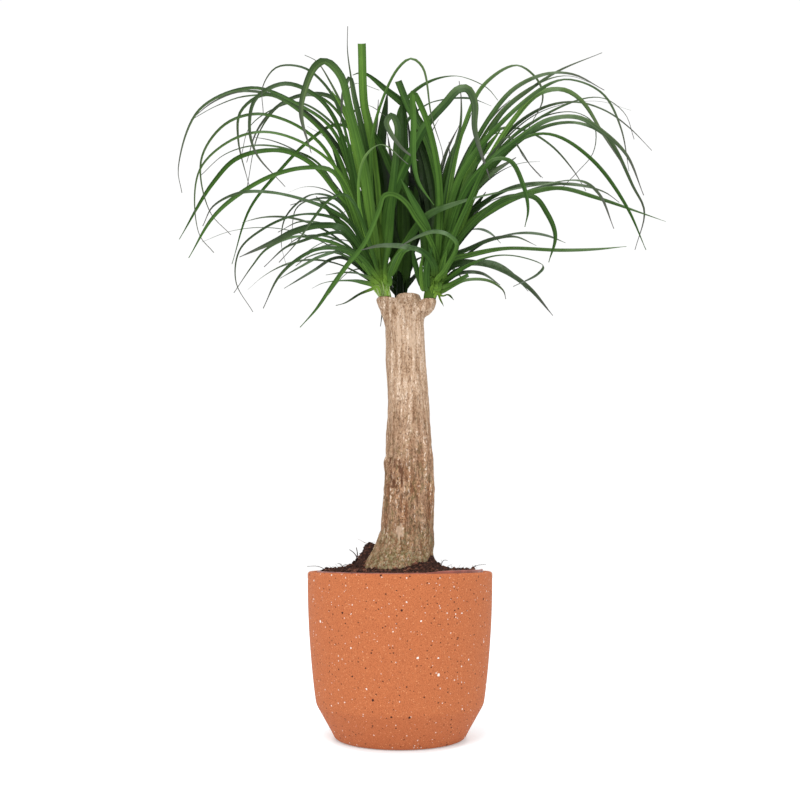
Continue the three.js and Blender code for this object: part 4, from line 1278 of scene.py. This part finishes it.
RIGHT_LEAVES = (
    Leaf(-150, 4.5, ((41, 492), (30, 523), (17, 543), (8, 558), (-2, 567), (-11, 570), (-18, 567),
         (-22, 554), (-26, 543), (-39, 513), (-55, 492), (-73, 466), (-90, 440), (-107, 420)),
         tone=0.5, form=Form.BLUNT),
    Leaf(-100, 5.5, ((37, 488), (26, 503), (10, 509), (-20, 511), (-42, 506))),
    Leaf(-130, 4.2, ((50, 485), (62, 512), (53, 523), (38, 527), (21, 522), (0, 510))),
    Leaf(-60, 7, ((36, 495), (30, 530), (12, 566), (1, 587)), tone=0.5, form=Form.BLUNT),
    Leaf(-20, 8.5, ((60, 515), (73, 533), (103, 555), (136, 570), (175, 577), (215, 566), (264, 548),
         (290, 538)), tone=0.5, form=Form.BLUNT),
    Leaf(60, 5, ((60, 530), (125, 578), (194, 580), (224, 572), (240, 560))),
    Leaf(-130, 6, ((44, 560), (40, 610), (28, 660), (15, 688), (15, 655), (15, 610), (20, 584), (37, 557)),
         tone=0.5, form=Form.BLUNT),
    Leaf(20, 4.8, ((47, 516), (56, 590), (71, 649), (94, 698), (131, 721), (154, 703), (159, 680),
         (143, 647)), tone=0.7, swell=2.7),
    Leaf(30, 4.5, ((77, 586), (112, 662), (145, 692), (177, 714), (227, 736))),
    Leaf(-40, 5.5, ((70, 600), (105, 667), (130, 695), (165, 711), (194, 710), (228, 691))),
    Leaf(40, 4, ((72, 596), (118, 672), (165, 704), (190, 708), (215, 699))),
    Leaf(-80, 5.5, ((66, 590), (134, 674), (177, 703), (203, 701), (228, 685), (245, 646), (252, 596)),
         tone=0.5),
    Leaf(-15, 6, ((95, 603), (126, 656), (156, 688), (182, 692), (202, 679), (226, 637), (246, 602)),
         swell=2.2),
    Leaf(85, 4.5, ((80, 580), (122, 644), (163, 672), (198, 677), (230, 666), (255, 646), (278, 620))),
    Leaf(120, 3.5, ((85, 590), (150, 662), (218, 678), (257, 667))),
    Leaf(60, 3.5, ((100, 610), (180, 672), (225, 682), (250, 663), (259, 633))),
    Leaf(-110, 5.5, ((75, 580), (137, 639), (167, 657), (198, 659), (226, 641), (250, 615), (267, 568)),
         tone=0.42),
    Leaf(50, 5, ((80, 570), (130, 630), (166, 650), (200, 652), (229, 636), (256, 578), (267, 550),
         (255, 506))),
    Leaf(-50, 4.8, ((77, 569), (96, 600), (128, 630), (155, 640), (179, 635), (216, 605), (248, 555),
         (267, 506)), tone=0.45, form=Form.BLUNT),
    Leaf(110, 4.5, ((70, 590), (110, 645), (138, 644), (167, 626), (190, 598), (204, 573))),
    Leaf(140, 3.5, ((68, 590), (105, 640), (126, 633), (136, 613), (157, 588))),
    Leaf(-160, 4.5, ((75, 560), (100, 608), (120, 609), (135, 581), (140, 552), (136, 532)),
         tone=0.4, form=Form.BLUNT),
    Leaf(-130, 5, ((65, 520), (110, 562), (145, 567), (161, 547), (169, 522), (161, 492)),
         tone=0.3, form=Form.BLUNT),
    Leaf(80, 5.5, ((54, 498), (73, 507), (102, 519), (126, 521), (148, 511))),
    Leaf(-60, 4.8, ((54, 494), (77, 501), (114, 508), (174, 506), (213, 507), (246, 510)),
         tone=0.5, form=Form.BLUNT),
    Leaf(-140, 4, ((45, 471), (72, 488), (100, 499), (127, 499), (155, 488), (149, 479), (122, 465)),
         tone=0.45),
    Leaf(60, 6.5, ((55, 489), (82, 492), (114, 482), (140, 463), (164, 433))),
    Leaf(120, 4.5, ((50, 472), (64, 480), (88, 480), (108, 467))),
    Leaf(-40, 4.5, ((41, 460), (68, 472), (95, 472), (111, 461), (114, 451))),
    Leaf(-30, 4, ((45, 465), (74, 478)), form=Form.CUT, tone=0.6),
    Leaf(60, 9, ((44, 534), (39, 605), (18, 659), (-16, 692), (-42, 712), (-53, 709)),
         tone=0.3, form=Form.BLUNT),
    Leaf(28, 8, ((43, 570), (38, 602), (29, 633), (11, 668), (-2, 702)), form=Form.CUT),
    Leaf(10, 4, ((45, 540), (60, 620), (67, 650), (68, 684), (66, 702))),
    Leaf(15, 10, ((48, 530), (72, 590), (112, 645)), tone=0.68, form=Form.BLUNT),
    Leaf(-20, 10.5, ((50, 520), (84, 580), (128, 612)), tone=0.85),
    Leaf(40, 9, ((40, 520), (52, 600), (80, 665)), tone=0.3, form=Form.BLUNT),
    Leaf(10, 8.5, ((30, 492), (26, 526), (19, 551), (7, 574), (-8, 595), (-19, 621), (-30, 640),
         (-47, 656)), tone=0.3, form=Form.BLUNT),
    Leaf(45, 8.5, ((35, 492), (38, 523), (38, 554), (35, 579), (30, 604), (23, 625), (13, 644)),
         tone=0.14, form=Form.BLUNT),
    Leaf(55, 8, ((34, 492), (34, 523), (31, 557), (26, 586), (24, 607), (19, 625), (9, 646)),
         tone=0.05, form=Form.BLUNT),
    Leaf(38, 8, ((39, 492), (45, 523), (45, 554), (43, 586), (38, 615), (30, 638), (17, 658)),
         tone=0.25, form=Form.BLUNT),
    Leaf(70, 9, ((32, 492), (28, 523), (23, 551), (15, 577), (4, 600), (-4, 621)), tone=0, form=Form.BLUNT),
    Leaf(75, 9, ((34, 492), (30, 523), (26, 549), (21, 568), (16, 592), (14, 621)),
         tone=0, form=Form.BLUNT),
    Leaf(65, 9, ((37, 492), (41, 520), (39, 546), (33, 565), (26, 586)), tone=0.04, form=Form.BLUNT),
    Leaf(30, 4, ((47, 500), (52, 546), (56, 580), (55, 609), (54, 630)), tone=0.1),
    Leaf(50, 8, ((43, 492), (53, 529), (63, 563), (75, 597), (88, 630)), tone=0.12, form=Form.BLUNT),
    Leaf(45, 7, ((47, 486), (61, 517), (76, 546), (94, 572)), tone=0.15, form=Form.BLUNT),
    Leaf(-30, 6.5, ((26, 463), (23, 484), (26, 506)), tone=0.8, form=Form.BLUNT),
    Leaf(-45, 7, ((30, 463), (29, 486), (35, 510)), tone=0.42, form=Form.BLUNT),
    Leaf(-20, 6, ((25, 466), (17, 488), (13, 510)), tone=0.3, form=Form.BLUNT),
    Leaf(-35, 7, ((40, 463), (44, 484), (51, 506)), tone=0.7, form=Form.BLUNT),
    Leaf(-10, 6, ((43, 462), (54, 477), (67, 488)), tone=0.35, form=Form.BLUNT),
    Leaf(-20, 3.4, ((45, 455), (52, 456), (58, 450)), tone=0.15, form=Form.BLUNT),
    Leaf(-16, 2.6, ((43, 452), (47, 443)), tone=0.1, form=Form.BLUNT),
    Leaf(-40, 3.5, ((77, 574), (105, 621), (120, 636), (134, 619), (144, 602), (155, 589)), tone=0.2),
    Leaf(70, 2.2, ((110, 621), (155, 658), (194, 665), (214, 653), (217, 635), (212, 615), (197, 597),
         (176, 575)), tone=0.3),
)
BACK_LEAVES = (
    Leaf(62, 8, ((3, 490), (4, 540), (-8, 600), (-14, 640))),
    Leaf(75, 8, ((8, 500), (24, 560), (30, 610), (24, 650))),
    Leaf(80, 7, ((6, 500), (34, 560), (52, 620), (66, 650))),
    Leaf(80, 7, ((-8, 503), (-22, 570), (-34, 640))),
    Leaf(85, 8, ((-2, 504), (12, 570), (10, 640), (4, 680))),
    Leaf(60, 7, ((10, 500), (30, 545), (42, 590))),
    Leaf(110, 4.6, ((0, 600), (0, 668), (28, 699), (63, 708), (97, 694), (109, 679)),
         tone=0.3, form=Form.BLUNT),
    Leaf(95, 7, ((0, 580), (5, 650), (28, 673), (54, 681), (80, 681), (102, 672)),
         tone=0.28, form=Form.BLUNT),
    Leaf(70, 4, ((12, 474), (24, 480), (36, 474))),
    Leaf(90, 4, ((8, 476), (18, 495), (34, 500))),
    Leaf(60, 4, ((-8, 470), (-17, 446), (-21, 421))),
    Leaf(90, 10, ((1, 492), (4, 523), (4, 557), (2, 592), (0, 621)), tone=0, form=Form.BLUNT),
    Leaf(95, 10, ((-1, 492), (-2, 523), (-5, 557), (-11, 586), (-15, 621)), tone=0, form=Form.BLUNT),
    Leaf(95, 9, ((3, 497), (11, 526), (14, 557), (15, 592), (18, 621)), tone=0, form=Form.BLUNT),
    Leaf(85, 9, ((-2, 492), (-8, 523), (-12, 557), (-18, 592), (-21, 621), (-19, 650)),
         tone=0.05, form=Form.BLUNT),
    Leaf(100, 8, ((4, 500), (15, 523), (23, 549), (29, 574), (34, 603)), tone=0, form=Form.BLUNT),
    Leaf(40, 13, ((4, 492), (4, 529), (3, 563), (3, 621), (3, 689)), tone=0.2, form=Form.BLUNT),
    Leaf(60, 12, ((6, 492), (13, 529), (20, 568), (23, 621), (16, 679)), tone=0.1, form=Form.BLUNT),
    Leaf(70, 12, ((-2, 492), (-11, 534), (-18, 574), (-21, 621), (-14, 689)), tone=0.1, form=Form.BLUNT),
)


@dataclass
class Blade:
    """One strap leaf, ready to be meshed."""

    path: np.ndarray
    width: float
    face: np.ndarray
    roll: float
    twist: float
    tone: float
    root_side: Optional[np.ndarray] = None
    pale: float = 1.0
    form: Form = Form.TAPERED
    lie: float = 45.0
    tip_width: float = 0.8
    swell: float = 1.5
    channel: float = 0.1
    pale_reach: float = 42.0
    probes: int = 30
    fewest_stations: int = 36
    most_turning: float = 400.0
    turning_a_station: float = 6.0

    def width_at(self, share: np.ndarray) -> np.ndarray:
        """Gives the width along the blade.

        Args:
            share: 0 at the root to 1 at the tip.

        Returns:
            Widths in mm.
        """
        rise = np.minimum(1, 0.5 + 0.5 * share / 0.14)
        rise = rise * (self.swell + (1 - self.swell) * np.minimum(1, share / 0.5) ** 1.1)
        if self.form is Form.CUT:
            return self.width * rise
        late = 0.72 if self.form is Form.BLUNT else 0.6
        fall = 1 - 0.95 * (np.maximum(0, share - late) / (1 - late)) ** (1.9 if self.width > 3.5 else 1.4)
        return np.maximum(self.tip_width, self.width * rise * fall)

    def across_at(self, along: np.ndarray, share: np.ndarray) -> np.ndarray:
        """Finds which way the blade spreads: round the head at its root, then towards its own face.

        Args:
            along: Directions of the blade's line.
            share: 0 at the root to 1 at the tip.

        Returns:
            Directions, one a station.
        """
        level = (1 - np.abs(along[:, 2])) ** 1.5 * ease(share, 0.25, 0.5) * (self.form is not Form.CUT)
        lie = math.copysign(self.lie, self.roll) * level
        angle = np.radians(self.roll + self.twist * share + lie)[:, None]
        flat = unit(np.cross(along, self.face))
        square = unit(np.cross(flat, along))
        across = flat * np.cos(angle) + square * np.sin(angle)
        if self.root_side is not None:
            near = self.root_side if across[6] @ self.root_side >= 0 else -self.root_side
            settled = ease(share, 0.0, 0.22)[:, None]
            across = near * (1 - settled) + across * settled
        across = across - along * np.sum(across * along, axis=1, keepdims=True)
        return unit(across)

    def add_to(self, skin: Skin) -> None:
        """Meshes the blade as a thin channelled strap.

        Args:
            skin: Where it goes.
        """
        bends = unit(np.diff(smooth_line(self.path, self.probes), axis=0))
        turning = np.degrees(np.arccos(np.clip(np.sum(bends[1:] * bends[:-1], axis=1), -1, 1))).sum()
        stations = int(self.fewest_stations + min(turning, self.most_turning) / self.turning_a_station)
        line = smooth_line(self.path, stations)
        share = np.linspace(0, 1, stations)
        along = unit(np.gradient(line, axis=0))
        side = 1.0 if (line[-1] - line[0]) @ np.cross(self.face, UP) >= 0 else -1.0
        across = self.across_at(along, share)
        upper = unit(np.cross(across, along)) * side
        seen = unit(line - np.array([0, -EYE_DISTANCE, EYE_HEIGHT]))
        shown = np.abs(np.sum(across * unit(np.cross(along, seen)), axis=1))
        width = self.width_at(share)
        if self.face is FRONT:
            width = width * (1 + (1 / np.maximum(shown, 0.75) - 1) * ease(share, 0.05, 0.25))
        width = width[:, None]
        fold = self.channel * (1.8 - 1.2 * share)[:, None] * width
        thick = 0.12 + 0.02 * width
        places = np.array([-1, -0.5, 0, 0.5, 1.0])
        top = [line + across * u * width / 2 + upper * fold * (abs(u) ** 1.2 - 0.6) for u in places]
        under = [top[i] - upper * thick * (1.2 - abs(places[i])) for i in (3, 2, 1)]
        ring = np.stack([*top, *under], axis=1)
        spread = np.array([-1, -0.5, 0, 0.5, 1, 0.5, 0, -0.5])
        if side < 0:
            ring, spread = ring[:, ::-1], spread[::-1]
        sides = ring.shape[1]
        length = np.linalg.norm(np.diff(line, axis=0), axis=1).sum()
        pale = self.pale * (1 - ease(share * length, 3, self.pale_reach))
        level = (1 - np.abs(along[:, 2])) ** 2 * ease(share, 0.1, 0.4)
        skin.add(ring.reshape(-1, 3), [face[::-1] for face in ring_faces(stations, sides)],
                 along=np.repeat(share * (0.5 if self.form.full else 1), sides), tone=self.tone,
                 across=np.tile(spread, stations), pale=np.repeat(pale, sides), level=np.repeat(level, sides))


@dataclass
class Head:
    """One leafy head on a spur."""

    name: str
    node: str
    spur: Spur
    lean: Point
    leaves: tuple[Leaf, ...]
    azimuths: Point
    fill: int
    seed: int
    # painted shade: darkens every leaf and the core of the head, and lightens them when below 0
    painted_shade: float = 0.0
    pale: float = 1.0
    lie: float = 40.0
    core_pale: float = 0.75
    broad: float = 0.8
    rolls: Point = (8, 42)
    twists: Point = (-38, 38)
    root_heights: Point = (7, 26)
    fill_steps: int = 8
    fill_height: Point = (34, 9)
    fill_length: Point = (200, 300)
    fill_width: Point = (7, 4.5)
    fill_tilt: Point = (8, 50)
    fill_droop: Point = (45, 108)
    core_sides: int = 28
    core: tuple[Point, ...] = ((0.3, 0.62), (5, 0.62), (12, 0.6), (22, 0.55), (34, 0.45), (44, 0.35),
                               (56, 0.2), (66, 0.1))

    def leaning(self, height: float) -> np.ndarray:
        """Gives the head's axis at a height above its spur."""
        return np.array([self.lean[0] * height, self.lean[1] * height, height])

    def roots(self, target: np.ndarray, depth: float) -> tuple[list[np.ndarray], np.ndarray]:
        """Finds where a leaf starts: round the foot of the head, on the side that it leans to.

        Args:
            target: First point that the leaf goes through.
            depth: y of the leaf's tip.

        Returns:
            Its start and the point where it leaves the head, and its direction across there.
        """
        top, radius = self.spur.top, self.spur.radius
        away = target - top
        rise = max(0.0, away[2] / np.linalg.norm(away))
        out = unit(np.array([away[0], away[1] + 0.3 * depth + 0.001, 0]))
        height = mix(*self.root_heights, rise**2)
        start = top + out * radius * mix(0.85, 0.6, rise) + UP * 0.6
        leave = top + self.leaning(height) + out * radius * mix(1.15, 0.8, rise)
        return [start, leave], np.cross(UP, out)

    def leading_path(self, leaf: Leaf) -> tuple[np.ndarray, np.ndarray]:
        """Places a leading leaf's points in space.

        Args:
            leaf: The leaf.

        Returns:
            Rows of x, y, z in mm, and the direction across at the root.
        """
        top = self.spur.top
        seen = np.array([(top[0], top[2]), *leaf.through])
        run = np.cumsum(np.linalg.norm(np.diff(seen, axis=0), axis=1))
        points = [place_seen(point, mix(top[1], leaf.depth, (station / run[-1]) ** 1.2))
                  for point, station in zip(leaf.through, run)]
        starts, across = self.roots(points[0], leaf.depth)
        return np.array([*starts, *points]), across

    def fill_path(self, rank: int, random: Callable[[], float]) -> tuple[np.ndarray, float, np.ndarray]:
        """Bends a leaf for the side that the leading ones leave bare.

        Args:
            rank: From 0.
            random: Number stream.

        Returns:
            Rows of x, y, z, the width, and the way that the blade looks.
        """
        share = rank / (self.fill - 1)
        turn = (rank * GOLDEN_SHARE + 0.5 * random() / self.fill) % 1
        azimuth = math.radians(mix(*self.azimuths, turn))
        out = np.array([math.cos(azimuth), math.sin(azimuth), 0])
        length = mix(*self.fill_length, 0.35 + 0.65 * math.sin(share * 2.4) * random() ** 0.4)
        tilt = mix(*self.fill_tilt, share) + 8 * (random() - 0.5)
        droop = mix(*self.fill_droop, share**0.6) + 14 * (random() - 0.5)
        height = mix(*self.fill_height, share)
        place = self.spur.top + self.leaning(height) + out * 2.5
        path = [place]
        part = length / self.fill_steps
        for step in range(self.fill_steps):
            angle = math.radians(mix(tilt, droop, ((step + 0.5) / self.fill_steps) ** 1.3))
            place = place + out * part * math.sin(angle) + UP * part * math.cos(angle)
            path.append(place)
        return np.array(path), mix(*self.fill_width, random()), np.array([-out[1], out[0], 0])

    def blades(self) -> list[Blade]:
        """Lists the head's blades.

        Returns:
            Leading leaves, then fill leaves.
        """
        random = random_from(self.seed)
        tones = random_from(self.seed + 9)
        made = []
        for leaf in self.leaves:
            roll, twist = mix(*self.rolls, random()), mix(*self.twists, random())
            if leaf.form in (Form.CUT, Form.FLAT):
                roll, twist = 0.0, 0.0
            # painted shade: leaves whose tips lie further back get a darker tone, on top of a random spread
            # of their own green
            tone = leaf.tone if leaf.tone is not None else float(
                np.clip(0.51 - leaf.depth / 600 + 0.75 * (tones() - 0.5) - self.painted_shade, 0.05, 1))
            path, across = self.leading_path(leaf)
            width = leaf.width * (1 if leaf.form.full else self.broad)
            made.append(Blade(path, width, FRONT, roll, twist, tone, across, self.pale, leaf.form,
                              0.0 if leaf.form is Form.FLAT else self.lie,
                              swell=Blade.swell if leaf.form.full else leaf.swell))
        random = random_from(self.seed + 1)
        for rank in range(self.fill):
            path, width, face = self.fill_path(rank, random)
            # painted shade: fill leaves, at the back of the head, get a dark tone
            made.append(Blade(path, width, face, 90, mix(-50, 50, random()), 0.1 + 0.2 * tones(), pale=0.0))
        return made

    def build(self, leaf: bpy.types.Material) -> bpy.types.Object:
        """Makes and dresses the head.

        Args:
            leaf: The leaf finish.

        Returns:
            The piece.
        """
        skin = Skin()
        rows = [circle(self.spur.top + self.leaning(height), self.spur.radius * share, self.core_sides)
                for height, share in self.core]
        skin.add(np.vstack(rows), ring_faces(len(rows), self.core_sides), along=0.1, across=0.4,
                 tone=0.3 * (1 - self.painted_shade), pale=self.core_pale, level=0.0)
        for blade in self.blades():
            blade.add_to(skin)
        return settle(skin.build(self.name, crease=50), leaf, Slot.LEAF, self.node)


HEADS = (
    Head("leaves_left", "crown_left", SPURS[0], (-0.2, -0.06), LEFT_LEAVES, (98, 158), 10, 11),
    Head("leaves_right", "crown_right", SPURS[1], (0.2, -0.06), RIGHT_LEAVES, (22, 82), 10, 31,
         painted_shade=-0.05, pale=0.68, lie=14.0, core_pale=0.25, broad=0.94,
         core=((0.3, 0.8), (5, 0.85), (12, 0.85), (22, 0.78), (34, 0.6), (44, 0.42), (56, 0.25), (66, 0.1))),
    Head("leaves_back", "crown_back", SPURS[2], (0, 0.2), BACK_LEAVES, (55, 125), 12, 47,
         painted_shade=1.0, pale=0.0, core_pale=0.0),
)


@dataclass
class Studio:
    """Camera, floor and soft light."""

    eye: Triple = (0.0, -0.975, 0.190)
    tilt: float = 98.8175
    lens: float = 41.96
    floor_size: float = 9.0
    world: float = 1.02
    shadow: Triple = (0.0, -0.011, 0.0)
    shadow_edge: Point = (0.063, 0.07)
    glow: Point = (0.26, 0.42)
    lamp_place: Triple = (-0.4, -1.7, 2.3)
    lamp_aim: Triple = (0.0, 0.0, 0.35)
    lamp_size: float = 1.0
    lamp_power: float = 31.0
    floor_level: float = -0.4
    floor_colour: Colour = (0.72, 0.8, 0.84)

    def camera(self) -> None:
        """Puts the camera where the photograph was taken from."""
        data = bpy.data.cameras.new("camera")
        data.lens, data.sensor_width, data.clip_end = self.lens, 36.0, 50.0
        made = put_in_scene("camera", data)
        made.location = self.eye
        made.rotation_euler = (math.radians(self.tilt), 0, 0)
        bpy.context.scene.camera = made

    def lamp(self) -> None:
        """Adds a large soft lamp that looks at the plant."""
        data = bpy.data.lights.new("key", "AREA")
        data.shape, data.size, data.energy = "SQUARE", self.lamp_size, self.lamp_power
        made = put_in_scene("key", data)
        made.location = self.lamp_place
        aim = Vector(self.lamp_aim) - Vector(self.lamp_place)
        made.rotation_euler = aim.to_track_quat("-Z", "Y").to_euler()

    def build(self) -> None:
        """Sets up the studio."""
        self.camera()
        world = bpy.data.worlds.new("studio")
        world.use_nodes = True
        background = world.node_tree.nodes["Background"]
        background.inputs["Color"].default_value = (1, 1, 1, 1)
        background.inputs["Strength"].default_value = self.world
        bpy.context.scene.world = world
        bpy.context.scene.view_settings.view_transform = "Standard"
        self.lamp()
        self.floor()

    def floor(self) -> None:
        """Lays a pale floor that gives off a little light, less of it at the pot's foot."""
        skin = Skin()
        half = self.floor_size / 2 / MM
        corners = ((-half, -half), (half, -half), (half, half), (-half, half))
        skin.add(np.array([(*corner, self.floor_level) for corner in corners]), [(0, 1, 2, 3)])
        floor = skin.build("floor", False)
        nodes = Nodes("pale_floor", self.floor_colour)
        nodes.feed(nodes.shader.inputs["Emission Color"], (1.0, 1.0, 1.0))
        distance = nodes.add("ShaderNodeVectorMath", operation="DISTANCE")
        nodes.feed(distance.inputs[0], nodes.place)
        nodes.feed(distance.inputs[1], self.shadow)
        nodes.feed(nodes.shader.inputs["Emission Strength"],
                   nodes.between(distance.outputs["Value"], *self.shadow_edge, *self.glow))
        floor.data.materials.append(nodes.finish(1.0, 0.0))


def main() -> None:
    """Builds everything in order and reports each piece."""
    logging.basicConfig(level=logging.INFO, format="%(name)s: %(message)s")
    Studio().build()
    pieces = [part.build() for part in (OuterPot(), NurseryPot(), Soil(), Trunk())]
    leaf = StrapLeaf().material()
    pieces += [head.build(leaf) for head in HEADS]
    for piece in pieces:
        LOG.info("%s has %d faces", piece.name, len(piece.data.polygons))


if __name__ == "__main__":
    main()
